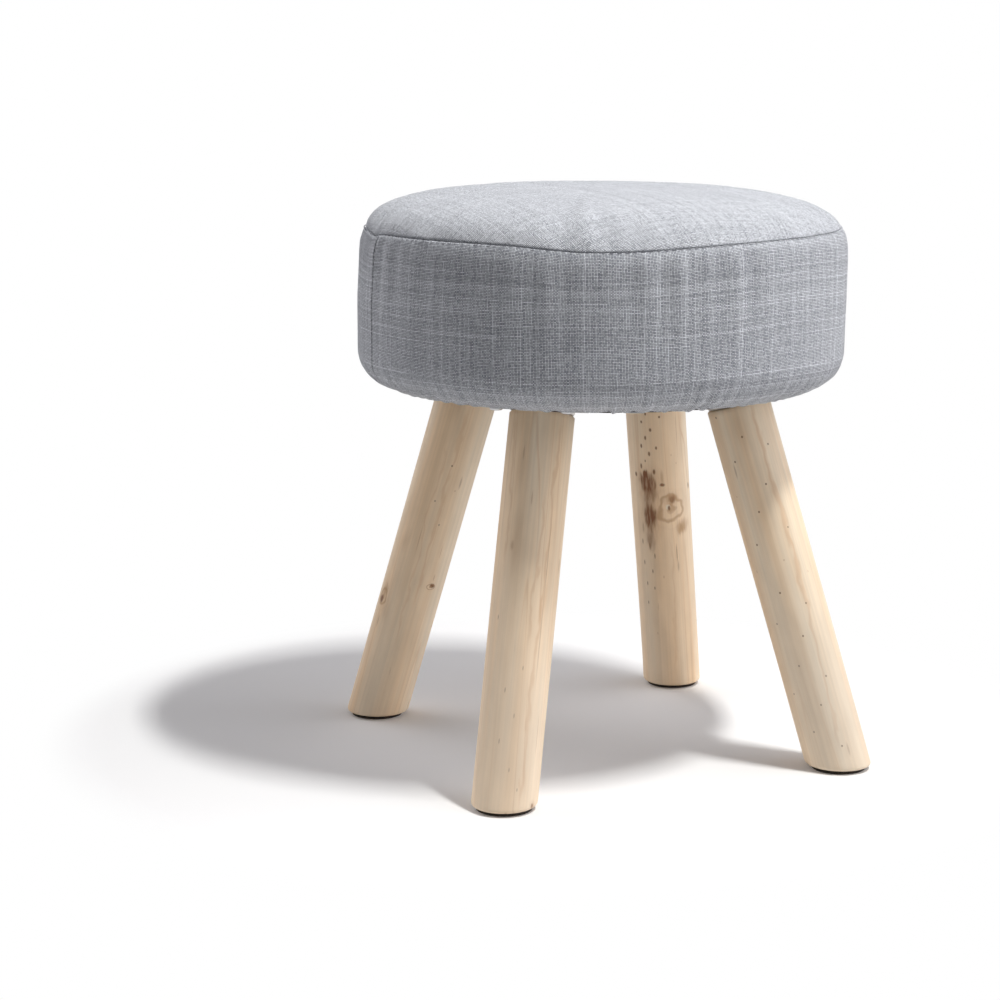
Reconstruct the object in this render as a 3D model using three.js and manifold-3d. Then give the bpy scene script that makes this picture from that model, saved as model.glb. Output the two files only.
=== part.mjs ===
import * as THREE from "three";
import { mergeVertices } from "three/addons/utils/BufferGeometryUtils.js";
import Module from "manifold-3d";

const wasm = await Module();
wasm.setup();

// Round upholstered footstool on four splayed pole legs.
// Millimetres, +Z up. The origin is on the floor under the middle of the seat.
// The leg plates lie on the diagonals, and the side band's upright seam is on the -X side.

// Fits
const fitGap = 0.3; // between neighbouring pieces
const overrun = 5; // how far a cut runs past the face that it opens

// Seat, outside
const seatHeight = 362; // floor to the middle of the crown
const seatRadius = 155; // at the widest line of the side
const bandHeight = 99; // underside to seam
const crownRise = 25; // seam to the middle of the crown
const crownFullness = 2.5; // exponent of the crown's curve: 2 is an ellipse, more is boxier
const bandFullness = 2.6; // the same for the band's shoulder, from the seam to the widest line
const edgeRadius = 19.5; // roll from the side to the underside
const seamInset = 5; // the seam's radius is this much less than the widest line's
const footInset = 0.3; // the same for the foot of the side, where the roll starts
const widestShare = 0.74; // height of the widest line, as a share of the height from the roll to the seam

// Cover
const coverThickness = 1.2;
const seamRoll = 1.5; // radius with which the top panel turns into the seam
const seamAllowance = 8; // flat ply inside the seam
const seamDip = 3.8; // how far the seam sags where the cover is pulled down
const dipDegrees = -114;
const dipSpreadDegrees = [15, 24]; // before and after the dip, going round
const creaseDegrees = 180; // upright seam of the band
const creaseDepth = 1.2;
const creaseWidth = 5;
const hemMargin = 0.5; // from the leg plates' outer corners to the cover's turned edge
const hemLap = 5; // dust cover over the turned edge
const dustCoverThickness = 0.6;
const dustCoverStep = 1.5; // run of the step over the turned edge

// Board
const boardThickness = 15;

// Legs
const cornerNames = ["front_left", "front_right", "back_right", "back_left"];
const legDegrees = [-135, -45, 45, 135];
const turnDegrees = [5.5, 5.5, 8.5, 1.5];
const splayDegrees = 17;
const legRadius = 20;
const legInset = 44.3; // from the board's edge to the leg's axis, at the plate
const legFootRound = 2.5;
const legTopChamfer = 1.5;
const padRadius = 17;
const padThickness = 2;
const padRound = 0.5;

// Leg plates
const plateThickness = 2;
const plateCorner = 8;
const bossMargin = 1.5; // boss face round the leg's top
const bossLift = 1; // height of the boss at its low, outer side
const bossFlare = 1.5; // root of the boss outside its face
const bossBend = 2.5;
const bossBendShare = 0.14;
const flangeMargin = 4.5; // flange round the boss's root
const screwInset = 6; // screw's axis from the flange's edges

// Fasteners
const screwRadius = 2;
const screwLength = 13;
const screwTip = 3;
const screwHeadRadius = 4;
const screwHeadHeight = 2.2;
const screwHeadRound = 0.9;
const pilotMargin = 1; // pilot hole past the screw's or bolt's end
const nutAcrossFlats = 13;
const nutHeight = 6.5;
const boltRadius = 4;
const boltTip = 5;
const boltInLeg = 38;
const boltPastNut = 3;
const reliefMargin = 3; // board's relief hole round the weld nut and past the bolt

// Smoothness
const seatSides = 40;
const legSides = 20;
const smallSides = 10;
const crownSteps = 9;
const shoulderSteps = 4;
const rollSteps = 4;

// Angles
const { degToRad } = THREE.MathUtils;
const splayAngle = degToRad(splayDegrees);
const dipAngle = degToRad(dipDegrees);
const creaseAngle = degToRad(creaseDegrees);

// Levels and radii that follow
const underside = seatHeight - crownRise - bandHeight;
const seamLevel = underside + bandHeight;
const seamRadius = seatRadius - seamInset;
const boardRadius = seatRadius - footInset - edgeRadius;
const boardUnder = underside + coverThickness + fitGap;
const boardTop = boardUnder + boardThickness;
const foamBottom = boardTop + fitGap;
const foamTop = seamLevel - coverThickness - fitGap;
const allowanceRadius = seamRadius - seamRoll - seamAllowance;
const dustCoverTop = boardUnder - fitGap;
const dustCoverUnder = dustCoverTop - dustCoverThickness;
const plateTop = dustCoverUnder - fitGap;
const plateUnder = plateTop - plateThickness;
const plateRadius = boardRadius - legInset;
const bossRadius = legRadius + bossMargin;
const rootRadius = bossRadius + bossFlare;
const flangeHalf = rootRadius / Math.cos(splayAngle) + flangeMargin;
const screwOffset = flangeHalf - screwInset;

// The corners: each plate's middle lies at its leg's angle, and the plate is screwed on a few degrees
// off square to it, so the leg leans that much to the side.
const corners = cornerNames.map((name, i) => ({
  name,
  angle: degToRad(legDegrees[i]),
  turn: degToRad(turnDegrees[i]),
}));
const plateReaches = corners.map(({ turn }) => {
  const outward = flangeHalf * (Math.cos(turn) + Math.abs(Math.sin(turn)));
  const sideways = flangeHalf * (Math.cos(turn) - Math.abs(Math.sin(turn)));
  return Math.hypot(plateRadius + outward, sideways);
});
const hemRadius = Math.max(...plateReaches) + hemMargin;

// A corner's frame has its origin on the floor under the plate's middle. A leg's frame has it
// where the leg's axis meets the floor, and its third axis runs up along the leg.
const footRun = plateUnder * Math.tan(splayAngle);
const bossFace = (plateUnder - bossLift - bossRadius * Math.sin(splayAngle)) / Math.cos(splayAngle);
const legTop = bossFace - fitGap;
const nutBottom = bossFace + plateThickness + fitGap;
const nutTop = nutBottom + nutHeight;
const boltTop = nutTop + boltPastNut;
const nutCornerRadius = nutAcrossFlats / 2 / Math.cos(Math.PI / 6);
const reliefRadius = nutCornerRadius + reliefMargin;
const reliefTop = boltTop * Math.cos(splayAngle) + boltRadius * Math.sin(splayAngle) + reliefMargin;
const reliefCentre = footRun - ((boardUnder + reliefTop) / 2) * Math.tan(splayAngle);

// Materials
const fabric = new THREE.MeshStandardMaterial({ color: 0x9a9da4, roughness: 0.95, metalness: 0 });
const wadding = new THREE.MeshStandardMaterial({ color: 0xf2f1ec, roughness: 1, metalness: 0 });
const foam = new THREE.MeshStandardMaterial({ color: 0xe9dfa8, roughness: 0.95, metalness: 0 });
const plywood = new THREE.MeshStandardMaterial({ color: 0xc9a777, roughness: 0.8, metalness: 0 });
const nonWoven = new THREE.MeshStandardMaterial({ color: 0x1c1c1e, roughness: 0.95, metalness: 0 });
const pine = new THREE.MeshStandardMaterial({ color: 0xdcc3a2, roughness: 0.65, metalness: 0 });
const felt = new THREE.MeshStandardMaterial({ color: 0x33281f, roughness: 1, metalness: 0 });
const zinc = new THREE.MeshStandardMaterial({ color: 0xb9bcbf, roughness: 0.35, metalness: 1 });

// Solids for joining and cutting
function toSolid(geometry) {
  const bare = new THREE.BufferGeometry();
  bare.setAttribute("position", geometry.getAttribute("position"));
  bare.setIndex(geometry.getIndex());
  const merged = mergeVertices(bare);
  return new wasm.Manifold(
    new wasm.Mesh({
      numProp: 3,
      vertProperties: merged.getAttribute("position").array,
      triVerts: new Uint32Array(merged.getIndex().array),
    }),
  );
}

function toGeometry(solid) {
  const mesh = solid.getMesh();
  const geometry = new THREE.BufferGeometry();
  geometry.setAttribute("position", new THREE.BufferAttribute(mesh.vertProperties, 3));
  geometry.setIndex(new THREE.BufferAttribute(mesh.triVerts, 1));
  const flat = geometry.toNonIndexed();
  flat.computeVertexNormals();
  return flat;
}

function cut(geometry, cutters) {
  return toGeometry(
    cutters.reduce((solid, cutter) => solid.subtract(toSolid(cutter)), toSolid(geometry)),
  );
}

// A profile of [radius, height] points turned about Z. It runs up the outside.
function turned(profile, sides) {
  const points = profile.map(([radius, height]) => new THREE.Vector2(radius, height));
  return new THREE.LatheGeometry(points, sides).rotateX(Math.PI / 2);
}

function drill(radius, low, high, x, y) {
  return new THREE.CylinderGeometry(radius, radius, high - low, smallSides)
    .rotateX(Math.PI / 2)
    .translate(x, y, (low + high) / 2);
}

// A closed solid through rings of points, listed from its start to its end, with both ends filled.
function loft(rings) {
  const count = rings[0].length;
  const positions = rings.flat().flatMap((point) => point.toArray());
  const middle = (ring) =>
    ring.reduce((sum, point) => sum.add(point), new THREE.Vector3()).divideScalar(count);
  positions.push(...middle(rings[0]).toArray(), ...middle(rings.at(-1)).toArray());
  const startMiddle = rings.length * count;
  const endMiddle = startMiddle + 1;
  const lastRing = startMiddle - count;
  const index = [];
  for (let j = 0; j < count; j++) {
    const next = (j + 1) % count;
    for (let i = 0; i < rings.length - 1; i++) {
      const low = i * count;
      const high = low + count;
      index.push(low + j, low + next, high + next, low + j, high + next, high + j);
    }
    index.push(startMiddle, next, j, endMiddle, lastRing + j, lastRing + next);
  }
  const geometry = new THREE.BufferGeometry();
  geometry.setAttribute("position", new THREE.Float32BufferAttribute(positions, 3));
  geometry.setIndex(index);
  geometry.computeVertexNormals();
  return geometry;
}

// Rings round a leg's axis, in the leg's frame: square to the axis, or level with the floor.
function ring(sides, radius, liftAt) {
  return Array.from({ length: sides }, (_, i) => {
    const turn = (2 * Math.PI * i) / sides;
    const x = radius * Math.cos(turn);
    return new THREE.Vector3(x, radius * Math.sin(turn), liftAt(x));
  });
}

const squareRing = (radius, along) => ring(legSides, radius, () => along);

const levelRing = (radius, height) =>
  ring(legSides, radius, (x) => (height - x * Math.sin(splayAngle)) / Math.cos(splayAngle));

const mixRings = (from, to, share) => from.map((point, i) => point.clone().lerp(to[i], share));

// Soft pieces of the seat
const bell = (distance, spread) => Math.exp(-((distance / spread) ** 2));

const turnBetween = (a, b) => Math.atan2(Math.sin(a - b), Math.cos(a - b));

const ramp = (value, from, to) => THREE.MathUtils.smoothstep(value, from, to);

// The angles at which the soft pieces are sampled: evenly from the upright seam, and closer beside it.
const creaseHalfAngle = creaseWidth / 2 / seatRadius;

function seatAngles() {
  const even = Array.from({ length: seatSides }, (_, i) => (2 * Math.PI * i) / seatSides);
  return [...even, creaseHalfAngle, 2 * Math.PI - creaseHalfAngle]
    .sort((a, b) => a - b)
    .map((angle) => creaseAngle + angle);
}

// Where a point of the round seat lies once the cover is sewn and pulled down.
function settled(radius, height, angle) {
  const outward = ramp(radius, allowanceRadius, seamRadius - seamRoll);
  const upward = ramp(height, seamLevel - bandHeight / 2, seamLevel - seamRoll);
  const pastDip = turnBetween(angle, dipAngle);
  const spread = degToRad(dipSpreadDegrees[pastDip < 0 ? 0 : 1]);
  const dip = seamDip * bell(pastDip, spread) * outward * upward;
  const aside = Math.abs(turnBetween(angle, creaseAngle)) / creaseHalfAngle;
  const below = 1 - ramp(height, seamLevel, seamLevel + seamRoll);
  const crease = creaseDepth * Math.max(0, 1 - aside) * ramp(radius, boardRadius, seamRadius) * below;
  const drawn = radius - crease;
  return new THREE.Vector3(drawn * Math.cos(angle), drawn * Math.sin(angle), height - dip);
}

// A profile turned about Z and settled. One from axis to axis is open, any other is a closed loop.
// Each facet's diagonal rises with the radius, so that plies on each other have the same facets.
function upholstered(profile) {
  const onAxis = ([radius]) => radius === 0;
  const closed = !onAxis(profile[0]);
  const angles = seatAngles();
  const positions = angles.flatMap((angle) =>
    profile.flatMap(([radius, height]) => settled(radius, height, angle).toArray()),
  );
  const count = profile.length;
  const edges = closed ? count : count - 1;
  const index = [];
  angles.forEach((_, i) => {
    const here = i * count;
    const there = ((i + 1) % angles.length) * count;
    for (let j = 0; j < edges; j++) {
      const next = (j + 1) % count;
      if (profile[next][0] > profile[j][0]) {
        if (!onAxis(profile[j])) index.push(here + j, there + j, there + next);
        index.push(here + j, there + next, here + next);
      } else {
        index.push(here + j, there + j, here + next);
        if (!onAxis(profile[next])) index.push(there + j, there + next, here + next);
      }
    }
  });
  const geometry = new THREE.BufferGeometry();
  geometry.setAttribute("position", new THREE.Float32BufferAttribute(positions, 3));
  geometry.setIndex(index);
  const welded = mergeVertices(geometry);
  welded.computeVertexNormals();
  return welded;
}

// A line moved inwards, to its right-hand side.
function inset(line, depth) {
  return line.map(([radius, height], i) => {
    if (radius === 0) return [0, height - depth];
    const before = line[Math.max(i - 1, 0)];
    const after = line[Math.min(i + 1, line.length - 1)];
    const run = Math.hypot(after[0] - before[0], after[1] - before[1]);
    return [
      radius + ((after[1] - before[1]) / run) * depth,
      height - ((after[0] - before[0]) / run) * depth,
    ];
  });
}

// A quarter round from one direction, as an angle, to another.
function arc(radius, centreRadius, centreHeight, from, to, steps) {
  return Array.from({ length: steps + 1 }, (_, i) => {
    const turn = from + ((to - from) * i) / steps;
    return [centreRadius + radius * Math.cos(turn), centreHeight + radius * Math.sin(turn)];
  });
}

// A fall from a level start to an upright end, boxier than an ellipse where its fullness passes 2.
function roundedFall([startRadius, startHeight], [endRadius, endHeight], fullness, steps) {
  return Array.from({ length: steps + 1 }, (_, i) => {
    const turn = (Math.PI / 2) * (i / steps);
    const outShare = Math.sin(turn) ** (2 / fullness);
    const upShare = Math.cos(turn) ** (2 / fullness);
    return [
      startRadius + (endRadius - startRadius) * outShare,
      endHeight + (startHeight - endHeight) * upShare,
    ];
  });
}

// The top panel's outside: from the middle of the crown to its edge, and into the seam.
function panelLine() {
  const rimLevel = seamLevel + seamRoll;
  const crown = roundedFall([0, seatHeight], [seamRadius, rimLevel], crownFullness, crownSteps);
  const roll = arc(seamRoll, seamRadius - seamRoll, rimLevel, 0, -Math.PI / 2, 2);
  return [...crown.slice(0, -1), ...roll, [allowanceRadius, seamLevel]];
}

// The side band's outside: from inside the seam, down the side and under the board.
function bandLine() {
  const top = seamLevel - fitGap;
  const sideFoot = underside + edgeRadius;
  const widest = sideFoot + (seamLevel - sideFoot) * widestShare;
  const shoulder = roundedFall([seamRadius - seamRoll, top], [seatRadius, widest], bandFullness, shoulderSteps);
  const under = arc(edgeRadius, boardRadius, sideFoot, 0, -Math.PI / 2, rollSteps);
  return [[allowanceRadius, top], ...shoulder, ...under, [hemRadius, underside]];
}

function ply(line) {
  return upholstered([...inset(line, coverThickness).reverse(), ...line].reverse());
}

// The wadding that gives the crown: the panel's inside, down to the foam.
function crownWadding() {
  const top = inset(panelLine(), coverThickness + fitGap);
  const low = foamTop + fitGap;
  const inner = allowanceRadius - fitGap;
  const rim = top.slice(0, -1);
  const shelf = [inner, top.at(-1)[1]];
  return upholstered([...rim, shelf, [inner, low], [boardRadius, low], [0, low]].reverse());
}

// The wadding round the side: the band's inside, out from the foam and the board's edge.
function sideWadding() {
  const inner = boardRadius + fitGap;
  const skin = inset(bandLine(), coverThickness + fitGap).filter(([radius]) => radius > inner);
  const top = skin[0][1];
  const bottom = underside + coverThickness + fitGap;
  return upholstered([[inner, top], ...skin, [inner, bottom]].reverse());
}

// Board with a relief hole over each boss and a pilot hole for each plate screw.
const screwPlaces = [-1, 1].flatMap((along) =>
  [-1, 1].map((across) => [along * screwOffset, across * screwOffset]),
);

const screwTop = plateUnder - fitGap + screwLength;

function cornerMatrix({ angle, turn }) {
  const middle = new THREE.Matrix4().makeTranslation(
    plateRadius * Math.cos(angle),
    plateRadius * Math.sin(angle),
    0,
  );
  return middle.multiply(new THREE.Matrix4().makeRotationZ(angle + turn));
}

function boardDrills() {
  return corners.flatMap((corner) =>
    [
      drill(reliefRadius, plateUnder, reliefTop, reliefCentre, 0),
      ...screwPlaces.map(([x, y]) =>
        drill(screwRadius + fitGap, plateUnder, screwTop + pilotMargin, x, y),
      ),
    ].map((geometry) => geometry.applyMatrix4(cornerMatrix(corner))),
  );
}

function disc(radius, low, high) {
  return turned([[0, low], [radius, low], [radius, high], [0, high]], seatSides);
}

function dustCover() {
  const rim = hemRadius + hemLap;
  const stepOut = hemRadius - fitGap;
  const stepIn = stepOut - dustCoverStep;
  const rimTop = underside - fitGap;
  const rimUnder = rimTop - dustCoverThickness;
  const under = [[0, dustCoverUnder], [stepIn, dustCoverUnder], [stepOut, rimUnder], [rim, rimUnder]];
  const top = [[rim, rimTop], [stepOut, rimTop], [stepIn, dustCoverTop], [0, dustCoverTop]];
  return turned([...under, ...top], seatSides);
}

// Leg plate: a square flange with a slanted boss pressed out of it, square to the leg.
function roundedSquare(half, corner) {
  const straight = half - corner;
  const shape = new THREE.Shape();
  [0, 1, 2, 3].forEach((side) => {
    const start = side * (Math.PI / 2);
    const [x, y] = [[1, 1], [-1, 1], [-1, -1], [1, -1]][side];
    shape.absarc(x * straight, y * straight, corner, start, start + Math.PI / 2, false);
  });
  return shape.closePath();
}

function bossSolid(wall, face, top) {
  const faceRing = squareRing(bossRadius - wall, face);
  const innerFace = squareRing(bossRadius - wall - bossBend, face);
  const root = levelRing(rootRadius - wall, plateUnder + wall);
  return loft([innerFace, mixRings(faceRing, root, bossBendShare), root, levelRing(rootRadius - wall, top)]);
}

function intoCornerFrame(geometry) {
  return geometry.rotateY(-splayAngle).translate(footRun, 0, 0);
}

function legPlate() {
  const shape = roundedSquare(flangeHalf, plateCorner);
  const flange = new THREE.ExtrudeGeometry(shape, {
    depth: plateThickness,
    bevelEnabled: false,
    curveSegments: 3,
  }).translate(0, 0, plateUnder);
  const pressed = intoCornerFrame(bossSolid(0, bossFace, plateTop));
  const hollow = intoCornerFrame(bossSolid(plateThickness, bossFace + plateThickness, plateTop + overrun));
  const boltHole = intoCornerFrame(drill(boltRadius + fitGap, bossFace - overrun, nutTop, 0, 0));
  const screwHoles = screwPlaces.map(([x, y]) =>
    drill(screwRadius + fitGap, plateUnder - overrun, plateTop + overrun, x, y),
  );
  const joined = toGeometry(toSolid(flange).add(toSolid(pressed)));
  return cut(joined, [hollow, boltHole, ...screwHoles]);
}

// Pan-head screw, head down, with its tip in the board.
function plateScrew() {
  const headTop = plateUnder - fitGap;
  const headUnder = headTop - screwHeadHeight;
  return turned(
    [
      [0, headUnder],
      [screwHeadRadius - screwHeadRound, headUnder],
      [screwHeadRadius, headUnder + screwHeadRound],
      [screwHeadRadius, headTop],
      [screwRadius, headTop],
      [screwRadius, screwTop - screwTip],
      [0, screwTop],
    ],
    smallSides,
  );
}

function weldNut() {
  const shape = new THREE.Shape();
  for (let i = 0; i < 6; i++) {
    const turn = (i * Math.PI) / 3;
    const place = [nutCornerRadius * Math.cos(turn), nutCornerRadius * Math.sin(turn)];
    if (i === 0) shape.moveTo(...place);
    else shape.lineTo(...place);
  }
  shape.closePath();
  shape.holes.push(new THREE.Path().absarc(0, 0, boltRadius + fitGap, 0, 2 * Math.PI, true));
  return new THREE.ExtrudeGeometry(shape, {
    depth: nutHeight,
    bevelEnabled: false,
    curveSegments: smallSides,
  });
}

// Hanger bolt: wood thread with a point in the leg, machine thread through the nut.
function hangerBolt() {
  const bottom = legTop - boltInLeg;
  const chamfer = boltRadius / 4;
  return turned(
    [
      [0, bottom],
      [boltRadius, bottom + boltTip],
      [boltRadius, boltTop - chamfer],
      [boltRadius - chamfer, boltTop],
      [0, boltTop],
    ],
    smallSides,
  );
}

// Pole leg: foot sawn level and rounded over, top sawn square with a chamfer and a blind bolt hole.
function poleLeg() {
  const foot = padThickness + fitGap;
  const footRings = [0, 1, 2].map((i) => {
    const turn = (i * Math.PI) / 4;
    const radius = legRadius - legFootRound * (1 - Math.sin(turn));
    return levelRing(radius, foot + legFootRound * (1 - Math.cos(turn)));
  });
  const hole = boltRadius + fitGap;
  return loft([
    ...footRings,
    squareRing(legRadius, legTop - legTopChamfer),
    squareRing(legRadius - legTopChamfer, legTop),
    squareRing(hole, legTop),
    squareRing(hole, legTop - boltInLeg - pilotMargin),
  ]);
}

function footPad() {
  return turned(
    [[0, 0], [padRadius - padRound, 0], [padRadius, padRound], [padRadius, padThickness], [0, padThickness]],
    legSides,
  );
}

// Assembly
function piece(name, geometry, material, parent) {
  const mesh = new THREE.Mesh(geometry, material);
  mesh.name = name;
  parent.add(mesh);
  return mesh;
}

const group = new THREE.Group();
piece("top_panel", ply(panelLine()), fabric, group);
piece("side_band", ply(bandLine()), fabric, group);
piece("crown_wadding", crownWadding(), wadding, group);
piece("side_wadding", sideWadding(), wadding, group);
piece("foam_core", disc(boardRadius, foamBottom, foamTop), foam, group);
piece("base_board", cut(disc(boardRadius, boardUnder, boardTop), boardDrills()), plywood, group);
piece("dust_cover", cut(dustCover(), boardDrills()), nonWoven, group);

corners.forEach((corner) => {
  const place = new THREE.Group();
  place.applyMatrix4(cornerMatrix(corner));
  group.add(place);
  piece("leg_plate_" + corner.name, legPlate(), zinc, place);
  screwPlaces.forEach(([x, y], i) => {
    const name = "plate_screw_" + corner.name + "_" + (i + 1);
    piece(name, plateScrew(), zinc, place).position.set(x, y, 0);
  });
  const along = new THREE.Group();
  along.position.x = footRun;
  along.rotation.y = -splayAngle;
  place.add(along);
  piece("plate_nut_" + corner.name, weldNut(), zinc, along).position.z = nutBottom;
  piece("hanger_bolt_" + corner.name, hangerBolt(), zinc, along);
  piece("leg_" + corner.name, poleLeg(), pine, along);
  const pad = piece("foot_pad_" + corner.name, footPad(), felt, place);
  pad.position.x = footRun - padThickness * Math.tan(splayAngle);
});

export default group;
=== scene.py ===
import math

import bpy
import numpy as np
from mathutils import Matrix, Vector
from mathutils.geometry import delaunay_2d_cdt


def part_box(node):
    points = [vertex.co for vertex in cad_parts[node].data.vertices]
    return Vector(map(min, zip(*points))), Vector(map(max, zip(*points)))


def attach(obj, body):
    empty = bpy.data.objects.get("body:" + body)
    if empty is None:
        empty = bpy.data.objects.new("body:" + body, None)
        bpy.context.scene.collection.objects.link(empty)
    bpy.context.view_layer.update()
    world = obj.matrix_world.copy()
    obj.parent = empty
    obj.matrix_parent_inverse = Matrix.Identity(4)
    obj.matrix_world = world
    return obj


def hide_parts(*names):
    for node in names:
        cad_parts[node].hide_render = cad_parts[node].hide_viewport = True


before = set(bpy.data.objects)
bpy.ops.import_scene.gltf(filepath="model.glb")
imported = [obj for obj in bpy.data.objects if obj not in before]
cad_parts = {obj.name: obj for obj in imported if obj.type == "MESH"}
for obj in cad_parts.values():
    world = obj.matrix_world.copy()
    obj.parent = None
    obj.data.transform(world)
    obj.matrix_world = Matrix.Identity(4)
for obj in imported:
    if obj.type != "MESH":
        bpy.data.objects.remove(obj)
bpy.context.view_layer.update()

# Round upholstered footstool on four pole legs, in metres, with +Z up.
# The origin is on the floor under the middle of the seat.

MM = 0.001
CORNERS = ("front_left", "front_right", "back_right", "back_left")
UP = np.array([0.0, 0.0, 1.0])

# Camera: where it stands round the stool, and how it is turned and framed
CAMERA_ANGLE = math.radians(-112.40)
CAMERA_DISTANCE = 1644 * MM
CAMERA_HEIGHT = 466.2 * MM
CAMERA_PITCH = math.radians(10.545)
CAMERA_PAN = math.radians(-2.252)
CAMERA_ROLL = math.radians(0.067)
PICTURE_PX = 1000
FOCAL_PX = 2585.7
SENSOR_MM = 36

# Seat
SEAT_TOP = 362.3 * MM
SEAT_RADIUS = 155 * MM
SEAM_LEVEL = 337 * MM
SEAM_RADIUS = 150.8 * MM
WIDEST_LEVEL = 316 * MM
UNDERSIDE = 238 * MM
EDGE_ROLL = 22 * MM
ROLL_RISE = 0.8 * MM
HEM_BEAD = ((134.8, 238.2), (133.2, 237.55), (131.2, 237.35), (129.3, 237.85))
FOOT_INSET = 0.3 * MM
CROWN_FULLNESS = 3.3
CROWN_CUT = 2.5 * MM
BAND_FULLNESS = 2.2
PLY = 1.2 * MM
PLY_GAP = 0.3 * MM
PANEL_ROLL = 0.7 * MM
BAND_SHOULDER = 4.4 * MM
ALLOWANCE = 8 * MM
SEAT_LEAN = 4.65 * MM
SEAT_LEAN_ANGLE = math.radians(144)
UPPER_DRAW = (0.9 * MM, 0.4 * MM)
DRAW_ANGLE = math.radians(158)
DRAW_LEVELS = (288 * MM, 322 * MM)
FOOT_LEAN = 0.9 * MM
COLUMNS = 720
ROW_STEP = 1.4 * MM
BOARD_RADIUS = 135.2 * MM
ROLL_CENTRE = SEAT_RADIUS - FOOT_INSET - EDGE_ROLL
HEM_RADIUS = 126.2 * MM

# Sags of the seam line, by angle round the seat
SEAM_DIP = 3.7 * MM
DIP_ANGLE = math.radians(-114)
DIP_SPREADS = (math.radians(15), math.radians(24))
NOTCH = 1.8 * MM
NOTCH_ANGLE = math.radians(-181.5)
NOTCH_SPREAD = math.radians(4.5)
SEAM_RISE = 0.8 * MM
RISE_ANGLE = math.radians(-50)
RISE_SPREAD = math.radians(35)

# Upright seam of the side band
UPRIGHT_ANGLE = math.radians(-177.6)
UPRIGHT_BOWS = (math.radians(0.5), math.radians(-1.1))
HIGH_BOW_LEVELS = (298 * MM, 334 * MM)
LOW_BOW_LEVELS = (247 * MM, 262 * MM)
UPRIGHT_BOW_SPREAD = math.radians(8)
GROOVE_DEPTH = 1.5 * MM
GROOVE_WIDTH = 0.5 * MM
GROOVE_RADII = (125 * MM, 135 * MM)
STITCH_PULL = 0.3
LIP_HEIGHT = 0.12 * MM
LIP_PLACE = 1.6 * MM
LIP_WIDTH = 1.0 * MM
UPRIGHT_STITCH = 4.0 * MM

# Cloth directions
WEFT_RISE = 4.8 * MM
WEFT_RISE_ANGLE = math.radians(-66)
WEFT_RISE_SPREAD = math.radians(32)
TOP_THREAD_ANGLE = math.radians(4.5)
THREAD_PITCH = 0.9 * MM

# Stitches
STITCH_STEP = 4.6 * MM
STITCH_LENGTH = 2.8 * MM
STITCH_RADIUS = 0.3 * MM
STITCH_SPREAD = 0.08
STITCH_DRIFT = 0.05 * MM
STITCH_ARCH = 0.35 * MM
STITCH_END = 0.06

# Legs and what carries them
LEG_RADIUS = 20 * MM
FOOT_ROUND = 2.5 * MM
TOP_CHAMFER = 0.8 * MM
LEG_SIDES = 96
LEG_ROWS = 84
PAD_RADIUS = 17 * MM
PAD_THICKNESS = 2 * MM
FIT_GAP = 0.3 * MM
PLATE = 2 * MM
BOSS_FACE = 19.6 * MM
BOSS_FLARE = 0.6 * MM
BOSS_LIFT = 1 * MM
PLATE_CORNER = 8 * MM
FLANGE_MARGIN = 7.4 * MM
BOLT_HOLE = 4.3 * MM
BOLT_IN_LEG = 39 * MM


# Sums used throughout
def bell(distance, spread):
    return np.exp(-((distance / spread) ** 2))


def ramp(value, low, high):
    share = np.clip((value - low) / (high - low), 0, 1)
    return share * share * (3 - 2 * share)


def turn_between(a, b):
    return (a - b + math.pi) % (2 * math.pi) - math.pi


def even_turns(count):
    return np.arange(count) * 2 * math.pi / count


def polar(radius, turns, height=0.0):
    """Points at a radius and a height, at each angle."""
    x = radius * np.cos(turns)
    return np.stack([x, radius * np.sin(turns), height + 0 * x], -1)


def across_and_round(turns):
    """Unit vectors outwards and round at each angle."""
    return polar(1, turns), polar(1, turns + math.pi / 2)


def direction(angle, rise):
    return Vector((math.cos(angle) * math.cos(rise), math.sin(angle) * math.cos(rise), math.sin(rise)))


def box_middle(node):
    low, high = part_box(node)
    return (low + high) / 2


def added(name, data):
    """A new object of this data in the scene."""
    made = bpy.data.objects.new(name, data)
    bpy.context.scene.collection.objects.link(made)
    return made


def ripple(angle, waves, seed):
    """Uneven waviness round a circle, of about 1 in height, from whole numbers of waves."""
    rng = np.random.default_rng(seed)
    total = sum(rng.normal() * np.cos(n * angle + rng.uniform(0, 2 * math.pi)) for n in waves)
    return total / math.sqrt(len(waves) / 2)


# Camera
def place_camera():
    ahead = CAMERA_ANGLE + math.pi - CAMERA_PAN
    look = direction(ahead, -CAMERA_PITCH)
    level = look.cross(Vector(UP)).normalized()
    upright = level.cross(look)
    right = level * math.cos(CAMERA_ROLL) + upright * math.sin(CAMERA_ROLL)
    up = right.cross(look)
    lens = bpy.data.cameras.new("camera")
    lens.sensor_width = SENSOR_MM
    lens.lens = FOCAL_PX / PICTURE_PX * SENSOR_MM
    lens.clip_end = 100
    camera = added("camera", lens)
    turn = Matrix((right, up, -look)).transposed()
    stand = direction(CAMERA_ANGLE, 0) * CAMERA_DISTANCE
    stand.z = CAMERA_HEIGHT
    camera.matrix_world = Matrix.Translation(stand) @ turn.to_4x4()
    bpy.context.scene.camera = camera
    return stand, right, up, look


eye, eye_right, eye_up, eye_look = place_camera()


def sight_line(x_px, y_px):
    """Direction from the camera through a pixel of the 1000 x 1000 picture."""
    across = (x_px - PICTURE_PX / 2) / FOCAL_PX
    down = (y_px - PICTURE_PX / 2) / FOCAL_PX
    return (eye_look + eye_right * across - eye_up * down).normalized()


# Shader graphs
WHITE = (1, 1, 1)
DIRECT_RAYS = ("Camera", "Glossy", "Transmission")


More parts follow.
